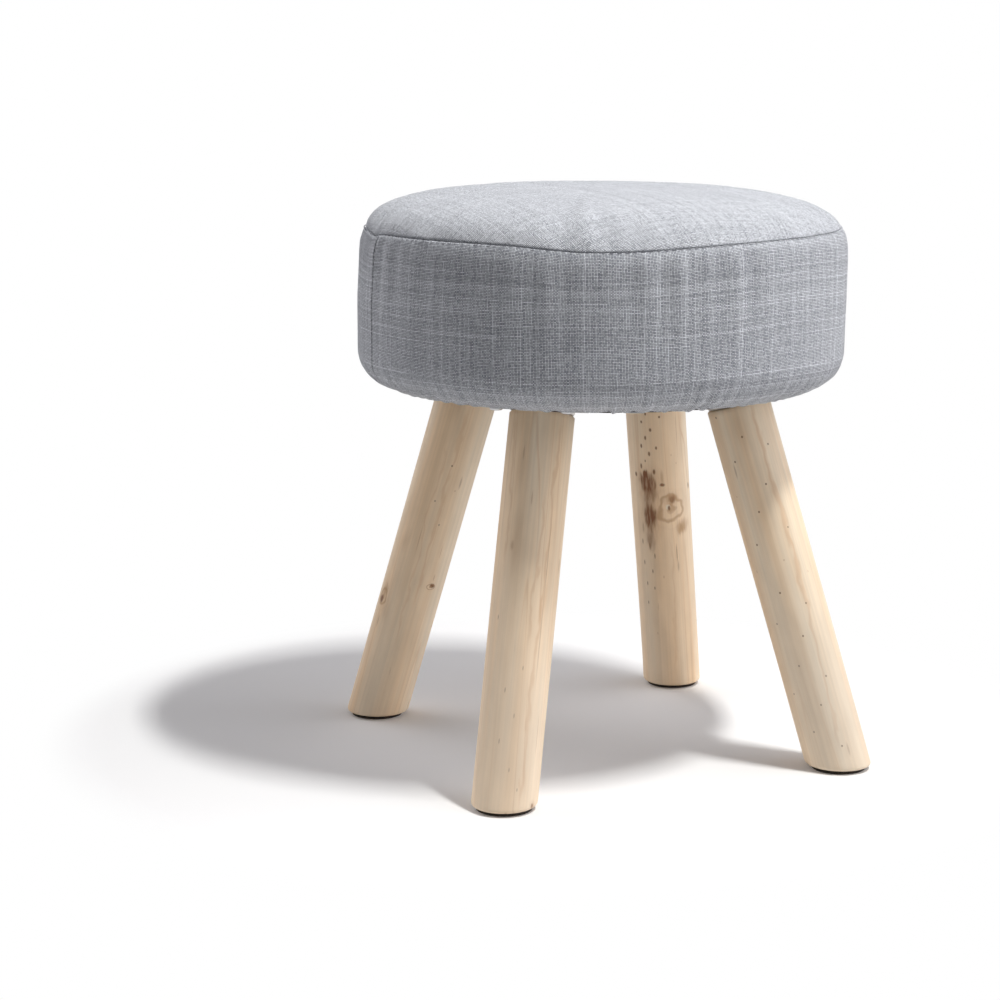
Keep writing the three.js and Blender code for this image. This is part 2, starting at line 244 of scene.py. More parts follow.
class Value:
    """A node's output that adds, subtracts, multiplies and divides like a number or a vector."""

    def __init__(self, graph, socket):
        self.graph = graph
        self.socket = socket

    def combined(self, operation, *pair):
        kinds = [value.socket.type if isinstance(value, Value) else type(value) for value in pair]
        if any(kind in ("VECTOR", "RGBA", tuple) for kind in kinds):
            pair = [(value,) * 3 if isinstance(value, (int, float)) else value for value in pair]
            return self.graph.vector(operation, *pair)
        return self.graph.math(operation, *pair)

    def __add__(self, other):
        return self.combined("ADD", self, other)

    def __sub__(self, other):
        return self.combined("SUBTRACT", self, other)

    def __rsub__(self, other):
        return self.combined("SUBTRACT", other, self)

    def __mul__(self, other):
        return self.combined("MULTIPLY", self, other)

    def __truediv__(self, other):
        return self.combined("DIVIDE", self, other)


class Graph:
    """A node tree with short calls. An input is a number, a tuple or another node's value."""

    def __init__(self, tree):
        self.tree = tree
        tree.nodes.clear()

    def node(self, kind, values=(), **settings):
        made = self.tree.nodes.new(kind)
        for name, value in settings.items():
            setattr(made, name, value)
        pairs = values.items() if isinstance(values, dict) else enumerate(values)
        for key, value in pairs:
            entry = made.inputs[key]
            if isinstance(value, Value):
                self.tree.links.new(value.socket, entry)
            elif entry.type == "RGBA":
                entry.default_value = (*value[:3], 1)
            else:
                entry.default_value = value
        return made

    def get(self, kind, values=(), output=0, **settings):
        return Value(self, self.node(kind, values, **settings).outputs[output])

    def math(self, operation, *values, clamp=False):
        return self.get("ShaderNodeMath", values, operation=operation, use_clamp=clamp)

    def vector(self, operation, *values):
        output = 1 if operation in ("LENGTH", "DOT_PRODUCT") else 0
        return self.get("ShaderNodeVectorMath", values, output, operation=operation)

    def join(self, x, y, z=0.0):
        return self.get("ShaderNodeCombineXYZ", (x, y, z))

    def split(self, vector):
        parts = self.node("ShaderNodeSeparateXYZ", (vector,)).outputs
        return [Value(self, part) for part in parts]

    def noise(self, vector, scale=1.0, detail=2.0, roughness=0.5, output=0):
        values = {"Vector": vector, "Scale": scale, "Detail": detail, "Roughness": roughness}
        return self.get("ShaderNodeTexNoise", values, output)

    def grain(self, number):
        return self.get("ShaderNodeTexWhiteNoise", {"W": number}, noise_dimensions="1D")

    def cell_grain(self, x, y):
        return self.get("ShaderNodeTexWhiteNoise", {"Vector": self.join(x, y)}, noise_dimensions="2D")

    def cells(self, vector, scale, output="Distance"):
        return self.get("ShaderNodeTexVoronoi", {"Vector": vector, "Scale": scale}, output)

    def range(self, value, low, high, to_low=0.0, to_high=1.0, smooth=False):
        kind = "SMOOTHSTEP" if smooth else "LINEAR"
        return self.get("ShaderNodeMapRange", (value, low, high, to_low, to_high), interpolation_type=kind)

    def mix(self, share, first, second, blend="MIX"):
        values = {0: share, 6: first, 7: second}
        return self.get("ShaderNodeMix", values, 2, data_type="RGBA", blend_type=blend)

    def choose(self, share, first, second):
        return self.get("ShaderNodeMix", {0: share, 2: first, 3: second}, data_type="FLOAT")

    def bump(self, height, distance, strength=1.0):
        return self.get("ShaderNodeBump", {"Height": height, "Distance": distance, "Strength": strength})

    def attribute(self, name):
        return self.get("ShaderNodeAttribute", (), "Vector", attribute_name=name)

    def object_place(self):
        return self.get("ShaderNodeTexCoord", (), "Object")

    def uv(self, name):
        return self.get("ShaderNodeUVMap", uv_map=name)

    def seen_directly(self):
        """One where the camera's own ray, or one mirrored or let through, meets the surface. Else zero."""
        rays = self.node("ShaderNodeLightPath").outputs
        camera, mirrored, through = (Value(self, rays[f"Is {kind} Ray"]) for kind in DIRECT_RAYS)
        return self.math("ADD", camera + mirrored, through, clamp=True)


def linear(red, green, blue):
    """Linear colour of an sRGB one given as 0 to 255."""
    shares = np.array((red, green, blue)) / 255
    return tuple(np.where(shares <= 0.04045, shares / 12.92, ((shares + 0.055) / 1.055) ** 2.4).tolist())


def finish_material(name, build):
    """A Principled material whose inputs build returns by name."""
    material = bpy.data.materials.new(name)
    material.use_nodes = True
    graph = Graph(material.node_tree)
    graph.node("ShaderNodeOutputMaterial", (graph.get("ShaderNodeBsdfPrincipled", build(graph)),))
    return material


# Meshes
def finish_mesh(name, points, quads, triangles, material, slot, uvs=None):
    """An object of these points and faces, turned right side out, riding on the stool's one body."""
    corners = np.concatenate([quads.ravel(), triangles.ravel()]).astype(np.int32)
    sizes = np.concatenate([np.full(len(quads), 4), np.full(len(triangles), 3)]).astype(np.int32)
    starts = np.concatenate([[0], np.cumsum(sizes)[:-1]]).astype(np.int32)
    mesh = bpy.data.meshes.new(name)
    mesh.vertices.add(len(points))
    mesh.vertices.foreach_set("co", points.astype(np.float32).ravel())
    mesh.loops.add(len(corners))
    mesh.loops.foreach_set("vertex_index", corners)
    mesh.polygons.add(len(sizes))
    mesh.polygons.foreach_set("loop_start", starts)
    mesh.polygons.foreach_set("use_smooth", np.ones(len(sizes), bool))
    mesh.update(calc_edges=True)
    if uvs is not None:
        map_name, places, girth = uvs
        spread = places[corners]
        if girth:
            widest = np.repeat(np.maximum.reduceat(spread[:, 0], starts), sizes)
            spread[:, 0] += np.where(widest - spread[:, 0] > girth / 2, girth, 0)
        layer = mesh.uv_layers.new(name=map_name)
        layer.data.foreach_set("uv", spread.astype(np.float32).ravel())
    mesh.validate()
    mesh.materials.append(material)
    piece = added(name, mesh)
    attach(piece, "root")
    return piece


def volume_sign(points, quads, triangles):
    halves = np.concatenate([quads[:, [0, 1, 2]], quads[:, [0, 2, 3]], triangles])
    a, b, c = (points[halves[:, i]] for i in range(3))
    return np.sign(np.einsum("ij,ij->i", a, np.cross(b, c)).sum())


def ring_faces(rows, sides, closed):
    ring = np.arange(sides)
    beside = (ring + 1) % sides
    count = rows if closed else rows - 1
    low = np.arange(count)[:, None] * sides
    high = (np.arange(count)[:, None] + 1) % rows * sides
    return np.stack([low + ring, low + beside, high + beside, high + ring], -1).reshape(-1, 4)


def ring_solid(rings, closed=False):
    """Points and faces of a solid through rings of points. Its ends are filled unless it closes on itself."""
    rows, sides = rings.shape[:2]
    points = rings.reshape(-1, 3)
    quads = ring_faces(rows, sides, closed)
    triangles = np.zeros((0, 3), int)
    if not closed:
        ring = np.arange(sides)
        beside = (ring + 1) % sides
        start = rows * sides
        last = start - sides
        points = np.concatenate([points, rings[0].mean(0)[None], rings[-1].mean(0)[None]])
        first_fan = np.stack([np.full(sides, start), beside, ring], -1)
        last_fan = np.stack([np.full(sides, start + 1), last + ring, last + beside], -1)
        triangles = np.concatenate([first_fan, last_fan])
    if volume_sign(points, quads, triangles) < 0:
        quads = quads[:, ::-1]
        triangles = triangles[:, ::-1]
    return points, quads, triangles


def joined(solids):
    """Several solids' points and faces as one."""
    points, quads, triangles = [], [], []
    count = 0
    for some_points, some_quads, some_triangles in solids:
        points.append(some_points)
        quads.append(some_quads + count)
        triangles.append(some_triangles + count)
        count += len(some_points)
    return np.concatenate(points), np.concatenate(quads), np.concatenate(triangles)


def run_lengths(line):
    return np.concatenate([[0], np.cumsum(np.hypot(*np.diff(line, axis=0).T))])


def resample(line, step):
    """A line of [radius, height] points again, at even steps."""
    line = np.asarray(line, float)
    lengths = run_lengths(line)
    places = np.linspace(0, lengths[-1], max(2, round(lengths[-1] / step) + 1))
    return np.stack([np.interp(places, lengths, line[:, i]) for i in (0, 1)], -1)


def turned(line, turns, swell=1):
    """Rings of a line of [radius, height] points turned about the upright axis."""
    line = np.asarray(line, float)
    return polar(line[:, :1] * swell, turns, line[:, 1:])


def arc(radius, centre_radius, centre_height, start, end, steps):
    turn = np.radians(np.linspace(start, end, steps + 1))
    return np.stack([centre_radius + radius * np.cos(turn), centre_height + radius * np.sin(turn)], -1)


FALL_POINTS = 200


def rounded_fall(inner, top, outer, bottom, fullness):
    """A curve from a level start to an upright end, boxier than an ellipse where fullness passes 2."""
    turn = np.linspace(0, math.pi / 2, FALL_POINTS)
    out = np.sin(turn) ** (2 / fullness)
    up = np.cos(turn) ** (2 / fullness)
    return np.stack([inner + (outer - inner) * out, bottom + (top - bottom) * up], -1)


# The seat's section: the top panel's outside from the crown's middle, and the band's from the seam
RIM_LEVEL = SEAM_LEVEL + PANEL_ROLL
SEAM_INNER = SEAM_RADIUS - PANEL_ROLL
ALLOWANCE_RADIUS = SEAM_INNER - ALLOWANCE
BAND_TOP = SEAM_LEVEL - PLY_GAP
SIDE_FOOT = UNDERSIDE + ROLL_RISE + EDGE_ROLL

# The crown's curve runs on past the seam, so that it meets the seam at a slope
cut_share = (1 - (SEAM_RADIUS / (SEAM_RADIUS + CROWN_CUT)) ** CROWN_FULLNESS) ** (1 / CROWN_FULLNESS)
crown_foot = (RIM_LEVEL - SEAT_TOP * cut_share) / (1 - cut_share)
crown_line = rounded_fall(0, SEAT_TOP, SEAM_RADIUS + CROWN_CUT, crown_foot, CROWN_FULLNESS)
crown_line = np.concatenate([crown_line[crown_line[:, 0] < SEAM_RADIUS], [[SEAM_RADIUS, RIM_LEVEL]]])
side_line = np.concatenate(
    [
        rounded_fall(SEAT_RADIUS - BAND_SHOULDER, BAND_TOP, SEAT_RADIUS, WIDEST_LEVEL, BAND_FULLNESS),
        [[SEAT_RADIUS - FOOT_INSET, SIDE_FOOT]],
        arc(EDGE_ROLL, ROLL_CENTRE, SIDE_FOOT, 0, -80, 60)[1:],
        np.array(HEM_BEAD) * MM,
        [[HEM_RADIUS, UNDERSIDE]],
    ]
)


# Columns of the mesh beside the upright seam, in millimetres: how far they reach, and their step
NEAR_COLUMNS = ((4, 0.5), (1.2, 0.2))
NEAR_CLEAR = 4.3 * MM


def seat_angles():
    """Angles round the seat from the upright seam, closer together beside it."""
    even = even_turns(COLUMNS)
    runs = [np.arange(-reach, reach + 0.01, step) for reach, step in NEAR_COLUMNS]
    close = np.concatenate(runs) * MM / SEAT_RADIUS
    near = np.unique(np.round(close % (2 * math.pi), 7))
    keep = np.abs(turn_between(even, 0)) > NEAR_CLEAR / SEAT_RADIUS
    return np.sort(np.concatenate([even[keep], near]))


angles_from_upright = seat_angles()
seat_turns = UPRIGHT_ANGLE + angles_from_upright


# Where the sags of the seam line run out, inwards and downwards
SAG_RADII = (ALLOWANCE_RADIUS - 20 * MM, SEAM_INNER)
SAG_LEVELS = (SEAM_LEVEL - 50 * MM, SEAM_LEVEL - 2.5 * MM)


def seam_shift(angle):
    from_dip = turn_between(angle, DIP_ANGLE)
    dip = bell(from_dip, np.where(from_dip < 0, *DIP_SPREADS))
    notch = bell(turn_between(angle, NOTCH_ANGLE), NOTCH_SPREAD)
    rise = bell(turn_between(angle, RISE_ANGLE), RISE_SPREAD)
    return SEAM_RISE * rise - SEAM_DIP * dip - NOTCH * notch


def placed(line, turns):
    """Points of a section line at each angle, with the sags and the lean of the sewn cover."""
    radius, height = np.asarray(line, float).T[..., None]
    outward = ramp(radius, *SAG_RADII)
    upward = ramp(height, *SAG_LEVELS)
    fall = seam_shift(turns) * outward * upward
    lean = np.where(
        height > SEAM_LEVEL,
        SEAT_LEAN * (height - SEAM_LEVEL) / (SEAT_TOP - SEAM_LEVEL),
        FOOT_LEAN * (SEAM_LEVEL - height) / (SEAM_LEVEL - UNDERSIDE),
    )
    drawn = (UPPER_DRAW[0] + UPPER_DRAW[1] * np.cos(turns - DRAW_ANGLE)) * ramp(height, *DRAW_LEVELS)
    radius = radius - drawn * ramp(radius, BOARD_RADIUS, SEAM_RADIUS)
    return polar(radius, turns, height + fall) + polar(lean, SEAT_LEAN_ANGLE)


def outward_normals(grid):
    down = np.gradient(grid, axis=0)
    around = np.roll(grid, -1, 1) - np.roll(grid, 1, 1)
    normals = np.cross(down, around)
    return normals / np.maximum(np.linalg.norm(normals, axis=2, keepdims=True), 1e-12)


# Cloth simulation: the sewn cover, held at its seam and hem, swells over its filling
SIM_COLUMNS = 150
SIM_STEP = 5 * MM
SIM_START_INSET = 1.2 * MM
SIM_FRAMES = 20
SIM_CAP = 5 * MM
SIM_BROAD_WAVES = 4
SIM_UNEVENNESS = 0.25 * MM
SIM_SHARE = 0.3
PIN_GROUP = "held"
CLOTH_SETTINGS = {
    "quality": 6,
    "mass": 0.25,
    "tension_stiffness": 18,
    "compression_stiffness": 18,
    "shear_stiffness": 6,
    "bending_stiffness": 0.6,
    "use_pressure": True,
    "uniform_pressure_force": 4.0,
    "shrink_min": -0.012,
    "vertex_group_mass": PIN_GROUP,
}


def settled(start, held_rows):
    """The rings of the cover once it has swelled, held in some rows and at its lowest point."""
    points, quads, triangles = ring_solid(start)
    mesh = bpy.data.meshes.new("settling_cover")
    mesh.from_pydata(points.tolist(), [], quads.tolist() + triangles.tolist())
    cover = added("settling_cover", mesh)
    held_points = (np.array(held_rows)[:, None] * SIM_COLUMNS + np.arange(SIM_COLUMNS)).ravel().tolist()
    cover.vertex_groups.new(name=PIN_GROUP).add(held_points + [len(points) - 1], 1.0, "REPLACE")
    cloth = cover.modifiers.new("cloth", "CLOTH")
    for name, value in CLOTH_SETTINGS.items():
        setattr(cloth.settings, name, value)
    cloth.settings.effector_weights.gravity = 0
    cloth.collision_settings.use_collision = False
    cloth.point_cache.frame_start = 1
    cloth.point_cache.frame_end = SIM_FRAMES
    scene = bpy.context.scene
    for number in range(1, SIM_FRAMES + 1):
        scene.frame_set(number)
    swelled = cover.evaluated_get(bpy.context.evaluated_depsgraph_get())
    found = np.zeros(len(points) * 3, np.float32)
    swelled.data.vertices.foreach_get("co", found)
    bpy.data.objects.remove(cover)
    scene.frame_set(1)
    return found[: start.size].reshape(start.shape)


def simulate_cover():
    """Offsets outwards, round and up of the crown's and the side's points once the cover has settled."""
    crown = resample(crown_line, SIM_STEP)[1:]
    side = resample(side_line, SIM_STEP)
    turns = UPRIGHT_ANGLE + even_turns(SIM_COLUMNS)
    start = np.concatenate([placed(crown, turns), placed(side, turns)])
    unevenness = SIM_UNEVENNESS * ripple(turns, range(3, 60), 5)
    shift = (unevenness[None, :, None] - SIM_START_INSET) * outward_normals(start)
    held_rows = [len(crown) - 1, len(crown), len(start) - 1]
    shift[held_rows] = 0
    start = start + shift
    moved = settled(start, held_rows) - start
    length = np.linalg.norm(moved, axis=2, keepdims=True)
    moved *= np.minimum(1, SIM_CAP / np.maximum(length, 1e-9))
    out, around = across_and_round(turns)
    parts = np.stack([(moved * out).sum(-1), (moved * around).sum(-1), moved @ UP], -1)
    waves = np.fft.rfft(parts, axis=1)
    waves[:, :SIM_BROAD_WAVES] = 0
    parts = SIM_SHARE * np.fft.irfft(waves, n=SIM_COLUMNS, axis=1)
    crown_rows = (run_lengths(np.concatenate([[[0, SEAT_TOP]], crown]))[1:], parts[: len(crown)])
    side_rows = (run_lengths(side), parts[len(crown) :])
    return crown_rows, side_rows


def spread_offsets(rows, lengths, from_upright):
    """A coarse field of offsets at the fine grid's places."""
    if rows is None:
        return np.zeros((len(lengths), len(from_upright), 3))
    places, field = rows
    looped = np.concatenate([field, field[:, :1]], 1)
    turns = np.linspace(0, 2 * math.pi, SIM_COLUMNS + 1)
    fine = np.zeros((len(places), len(from_upright), 3))
    for row in range(len(places)):
        for part in range(3):
            fine[row, :, part] = np.interp(from_upright, turns, looped[row, :, part])
    below = np.clip(np.searchsorted(places, lengths) - 1, 0, len(places) - 2)
    share = np.clip((lengths - places[below]) / (places[below + 1] - places[below]), 0, 1)
    share = (share * share * (3 - 2 * share))[:, None, None]
    return fine[below] * (1 - share) + fine[below + 1] * share


crown_offsets, side_offsets = simulate_cover()


def moved_by(grid, offsets, turns):
    out, around = across_and_round(turns)
    return grid + offsets[..., :1] * out + offsets[..., 1:2] * around + offsets[..., 2:] * UP


# Small unevenness of the sewn cloth
PUCKER = 0.22 * MM
PUCKER_REACH = 3.5 * MM
PUCKER_UNEVENNESS = 0.4
DRAW = 0.35 * MM
DRAW_REACH = 16 * MM
GATHER = 0.315 * MM
GATHER_REACH = (18 * MM, 42 * MM)
HEM_GATHER = 0.09 * MM
HEM_REACH = 9 * MM
SOFTNESS = 0.18 * MM
# Each kind of swelling: its share, its waves round the seat, its length from the middle outwards
SWELLINGS = ((0.6, range(2, 7), 45 * MM), (0.4, range(5, 15), 22 * MM))
SEAM_FADE = 6 * MM
CROWN_FADE = 60 * MM
STITCH_COUNT = round(2 * math.pi * SEAM_RADIUS / STITCH_STEP)


def seam_puckers(turns, from_seam, seed):
    """Small dents at the stitches, and wider ones where the cloth was fed in unevenly."""
    stitch = 0.5 - 0.5 * np.cos(STITCH_COUNT * (turns - UPRIGHT_ANGLE))
    strength = 1 + PUCKER_UNEVENNESS * ripple(turns, range(20, 70), seed)
    small = -PUCKER * (stitch * strength)[None] * np.exp(-from_seam / PUCKER_REACH)[:, None]
    wide = DRAW * ripple(turns, range(18, 64), seed + 1)[None]
    window = (from_seam / DRAW_REACH * np.exp(1 - from_seam / DRAW_REACH))[:, None]
    return small + wide * window


def softness(turns, lengths, seed):
    """Broad, shallow swellings over the filling."""
    total = 0
    for share, waves, step in SWELLINGS:
        for k in range(3):
            rise = np.cos(lengths / step + 2.1 * k + seed)
            total = total + share * ripple(turns, waves, seed + k)[None] * rise[:, None] / 1.7
    return SOFTNESS * total


def ply_rings(outer):
    """A closed shell: the outside's rows, then the inside's back again."""
    inner = outer - PLY * outward_normals(outer)
    return np.concatenate([outer, inner[::-1]])


def top_cover_grid():
    crown = resample(crown_line, ROW_STEP)[1:]
    roll = arc(PANEL_ROLL, SEAM_INNER, RIM_LEVEL, 0, -90, 7)[1:]
    tuck = resample([[SEAM_INNER, SEAM_LEVEL], [ALLOWANCE_RADIUS, SEAM_LEVEL]], 2 * MM)[1:]
    line = np.concatenate([crown, roll, tuck])
    lengths = run_lengths(np.concatenate([[[0, SEAT_TOP]], line]))[1:]
    seam_at = lengths[len(crown) + len(roll) - 1]
    grid = placed(line, seat_turns)
    crown_lengths = np.minimum(lengths, lengths[len(crown) - 1])
    fade = (1 - ramp(lengths, seam_at - SEAM_FADE, seam_at))[:, None, None]
    offsets = spread_offsets(crown_offsets, crown_lengths, angles_from_upright)
    grid = moved_by(grid, offsets * fade, seat_turns)
    from_seam = np.abs(lengths - seam_at)
    middle_fade = ramp(lengths, 0, CROWN_FADE)[:, None]
    rise = seam_puckers(seat_turns, from_seam, 31) * (lengths < seam_at)[:, None]
    rise = (rise + softness(seat_turns, lengths, 3) * fade[..., 0]) * middle_fade
    return grid + rise[..., None] * outward_normals(grid), line, lengths


def upright_groove(grid, line):
    """The band's upright seam: a narrow stitched slit with a lip on each side, bowed along its height."""
    heights = line[:, 1:]
    aside = turn_between(angles_from_upright, 0)[None]
    high_bow = UPRIGHT_BOWS[0] * ramp(heights, *HIGH_BOW_LEVELS)
    bow = high_bow + UPRIGHT_BOWS[1] * (1 - ramp(heights, *LOW_BOW_LEVELS))
    shift = bow * bell(aside, UPRIGHT_BOW_SPREAD)
    run = aside * SEAT_RADIUS
    stitch = 1 - STITCH_PULL + STITCH_PULL * np.cos(2 * math.pi * heights / UPRIGHT_STITCH)
    slit = -GROOVE_DEPTH * stitch * bell(run, GROOVE_WIDTH)
    lips = LIP_HEIGHT * bell(np.abs(run) - LIP_PLACE, LIP_WIDTH)
    below_seam = 1 - ramp(heights, BAND_TOP - 2 * MM, BAND_TOP)
    fade = below_seam * ramp(line[:, :1], *GROOVE_RADII)
    depth = (slit + lips) * fade
    cosine, sine = np.cos(shift * fade), np.sin(shift * fade)
    x, y = grid[..., 0], grid[..., 1]
    bowed = np.stack([x * cosine - y * sine, x * sine + y * cosine, grid[..., 2]], -1)
    return bowed + depth[..., None] * outward_normals(bowed)


FOLD_FADES = (2 * MM, 5 * MM)
# Folds in the band: angle, lowest and highest level, depth, width
FOLDS = (
    (math.radians(-169.3), 246 * MM, 258 * MM, 0.8 * MM, 0.9 * MM),
    (math.radians(-109.8), 234 * MM, 243 * MM, 1.1 * MM, 1.3 * MM),
    (math.radians(-96.5), 234 * MM, 242 * MM, 0.8 * MM, 1.6 * MM),
    (math.radians(-33.0), 238 * MM, 250 * MM, 0.7 * MM, 2.2 * MM),
    (math.radians(-24.0), 240 * MM, 254 * MM, 0.6 * MM, 2.4 * MM),
    (math.radians(38.0), 236 * MM, 252 * MM, 0.8 * MM, 2.0 * MM),
    (math.radians(96.0), 236 * MM, 250 * MM, 0.7 * MM, 1.8 * MM),
)


def band_folds(turns, heights):
    total = 0
    for angle, low, high, depth, width in FOLDS:
        run = turn_between(turns, angle)[None] * SEAT_RADIUS
        window = ramp(heights, low, low + FOLD_FADES[0]) * (1 - ramp(heights, high - FOLD_FADES[1], high))
        crease = bell(run, width) - 0.6 * bell(run - 2 * width, 1.4 * width)
        total = total - depth * crease * window[:, None]
    return total


def side_cover_grid():
    tuck = resample([[ALLOWANCE_RADIUS, BAND_TOP], [SEAT_RADIUS - BAND_SHOULDER, BAND_TOP]], 2 * MM)[:-1]
    side = resample(side_line, ROW_STEP)
    line = np.concatenate([tuck, side])
    lengths = run_lengths(line)
    seam_at = lengths[len(tuck)]
    grid = placed(line, seat_turns)
    fade = ramp(lengths, seam_at, seam_at + SEAM_FADE)[:, None]
    offsets = spread_offsets(side_offsets, np.maximum(lengths - seam_at, 0), angles_from_upright)
    grid = moved_by(grid, offsets * fade[..., None], seat_turns)
    from_seam = np.maximum(lengths - seam_at, 0)
    rise = seam_puckers(seat_turns, from_seam, 47) * (lengths > seam_at)[:, None]
    rise = rise + softness(seat_turns, lengths, 9) * fade
    to_hem = lengths[-1] - lengths
    gather = GATHER * ripple(seat_turns, range(46, 110), 71)[None]
    window = (1 - ramp(to_hem, *GATHER_REACH))[:, None]
    hem = HEM_GATHER * np.abs(ripple(seat_turns, range(60, 120), 73))[None] * bell(to_hem, HEM_REACH)[:, None]
    rise = rise + gather * window - hem * (to_hem > 0)[:, None]
    rise = rise + band_folds(seat_turns, line[:, 1])
    grid = grid + rise[..., None] * outward_normals(grid)
    return upright_groove(grid, line), line, lengths


def weft_rise(turns):
    return WEFT_RISE * bell(turn_between(turns, WEFT_RISE_ANGLE), WEFT_RISE_SPREAD)


# Cloth: a plain weave of melange yarns with lighter slub threads, over the piece's cloth map
CLOTH_DARK = (0.130, 0.138, 0.166)
CLOTH_LIGHT = (0.815, 0.838, 0.876)
CLOTH_MIDDLE = 0.60
# Painted light: the top panel's cloth is painted lighter than the band's, for the lamp above it
TOP_PAINTED_LIGHT = 0.10
TOP_SLUBS = 0.3
# Painted shade in the slit of the upright seam: its colour, how far from the seam it fades in, and its
# weakest and strongest share along the stitches
SEAM_SHADE = (0.035, 0.035, 0.042)
SEAM_LINE = (1.0 * MM, 0.3 * MM)
SEAM_LINE_STRENGTH = (0.35, 0.85)
WARP_TONE = -0.10
WEFT_TONE = 0.055
THREAD_SWAY = 0.7 * MM
# How much a thread rises and sinks from its middle height, as shares of its height
THREAD_MIDDLE = 0.6
THREAD_WAVE = 0.4
# Painted shade in the gaps between the threads, rising to a lighter tone on their crests
GAP_SHADE_TO_CREST = (-1.35, 0.30)
# Changes of the fibres' tone to the metre, across a thread and along it
FIBRE_CHANGES = (3600, 500)
THREAD_SHADE = 0.19
# Slubs: the share of the threads that have them, and how much lighter they are
WARP_SLUBS = (0.11, 0.42)
WEFT_SLUBS = (0.12, 0.52)
SLUB_CHANGES_PER_M = 9.0
SPECKLE = 0.23
FIBRE = 0.16


def yarn_tone(graph, number, length, seed, slub_share, slub_gain):
    """Tone of one thread: its own shade, slow changes along it, and bright slubs on some threads."""
    shade = graph.range(graph.grain(number + seed), 0, 1, -THREAD_SHADE, THREAD_SHADE)
    slow = graph.noise(graph.join(number * 7.31, length * SLUB_CHANGES_PER_M, seed))
    slubbed = graph.math("GREATER_THAN", graph.grain(number + (seed + 0.5)), 1 - slub_share)
    slub = slubbed * graph.range(slow, 0.43, 0.51, smooth=True) * slub_gain
    return shade + graph.range(slow, 0.3, 0.7, -0.05, 0.05) + slub


def with_seam_shade(graph, colour, run, rise):
    """The cloth's colour with a line of painted shade in the slit of the upright seam, broken by its
    stitches.
    """
    aside = graph.math("PINGPONG", run, math.pi * SEAT_RADIUS)
    beat = graph.math("SINE", rise * (2 * math.pi / UPRIGHT_STITCH))
    line = graph.range(aside, *SEAM_LINE, smooth=True) * graph.range(beat, -0.7, 0.7, *SEAM_LINE_STRENGTH)
    return graph.mix(line, colour, SEAM_SHADE)


def cloth_inputs(graph, slubs=1.0, painted_light=0.0, seam_shaded=False):
    place = graph.uv("cloth")
    run, rise, _ = graph.split(place)
    sway = (graph.noise(place, scale=38, detail=1) - 0.5) * THREAD_SWAY
    u = run + sway
    v = rise - sway
    x = u / THREAD_PITCH
    y = v / THREAD_PITCH
    warp = graph.math("FLOOR", x)
    weft = graph.math("FLOOR", y)
    warp_round = graph.math("SINE", graph.math("FRACT", x) * math.pi)
    weft_round = graph.math("SINE", graph.math("FRACT", y) * math.pi)
    lift = graph.range(graph.math("PINGPONG", warp + weft, 1.0), 0, 1, -THREAD_WAVE, THREAD_WAVE)
    warp_height = warp_round * (weft_round * lift + THREAD_MIDDLE)
    weft_height = weft_round * (THREAD_MIDDLE - warp_round * lift)
    height = graph.math("MAXIMUM", warp_height, weft_height)
    warp_shows = graph.math("GREATER_THAN", warp_height, weft_height)
    warp_tone = yarn_tone(graph, warp, v, 3.0, WARP_SLUBS[0], WARP_SLUBS[1] * slubs) + WARP_TONE
    weft_tone = yarn_tone(graph, weft, u, 11.0, WEFT_SLUBS[0], WEFT_SLUBS[1] * slubs) + WEFT_TONE
    tone = graph.choose(warp_shows, weft_tone, warp_tone)
    speckle = graph.range(graph.cell_grain(warp, weft), 0, 1, -SPECKLE, SPECKLE)
    along_warp = graph.noise(place * (*FIBRE_CHANGES, 0))
    along_weft = graph.noise(place * (*FIBRE_CHANGES[::-1], 0))
    fibre = graph.range(graph.choose(warp_shows, along_weft, along_warp), 0.25, 0.75, -FIBRE, FIBRE)
    broad = graph.range(graph.noise(place * (70, 14, 0), detail=3), 0.3, 0.7, -0.03, 0.03)
    # Painted shade in the gaps between the threads, lighter on their crests
    shade = graph.range(height, 0.1, 0.8, *GAP_SHADE_TO_CREST)
    share = graph.math("ADD", tone + speckle + fibre + broad + shade, CLOTH_MIDDLE + painted_light, clamp=True)
    colour = graph.mix(share, CLOTH_DARK, CLOTH_LIGHT)
    if seam_shaded:
        # Painted shade along the upright seam's slit
        colour = with_seam_shade(graph, colour, run, rise)
    return {
        "Base Color": colour,
        "Roughness": 0.9,
        "Sheen Weight": 0.12,
        "Sheen Roughness": 0.6,
        "Specular IOR Level": 0.25,
        "Normal": graph.bump(fibre * 0.6 + height, 0.25 * MM, strength=0.7),
    }


# Painted shade: the sewing thread is painted darker on the left of the seat, away from the lamp, than on the
# lit right
THREAD_SHADED = (linear(82, 84, 91), linear(150, 152, 158))
THREAD_LIT = (linear(175, 178, 184), linear(232, 234, 238))
THREAD_SHADE_SPAN = (-30 * MM, 40 * MM)


def thread_inputs(graph):
    place = graph.attribute("place")
    twist = graph.noise(place * (2500, 2500, 2500))
    shaded = graph.mix(twist, *THREAD_SHADED)
    pale = graph.mix(twist, *THREAD_LIT)
    return {
        # Painted shade: the thread darkens towards the seat's left, away from the lamp
        "Base Color": graph.mix(graph.range(graph.split(place)[0], *THREAD_SHADE_SPAN), shaded, pale),
        "Roughness": 0.8,
        "Specular IOR Level": 0.3,
        "Normal": graph.bump(twist, 0.1 * MM, strength=0.5),
    }


def dull(graph, share, first, second, roughness, relief, depth):
    """Inputs of a dull stuff between two colours, with a relief of some depth."""
    return {
        "Base Color": graph.mix(share, first, second),
        "Roughness": roughness,
        "Normal": graph.bump(relief, depth),
    }


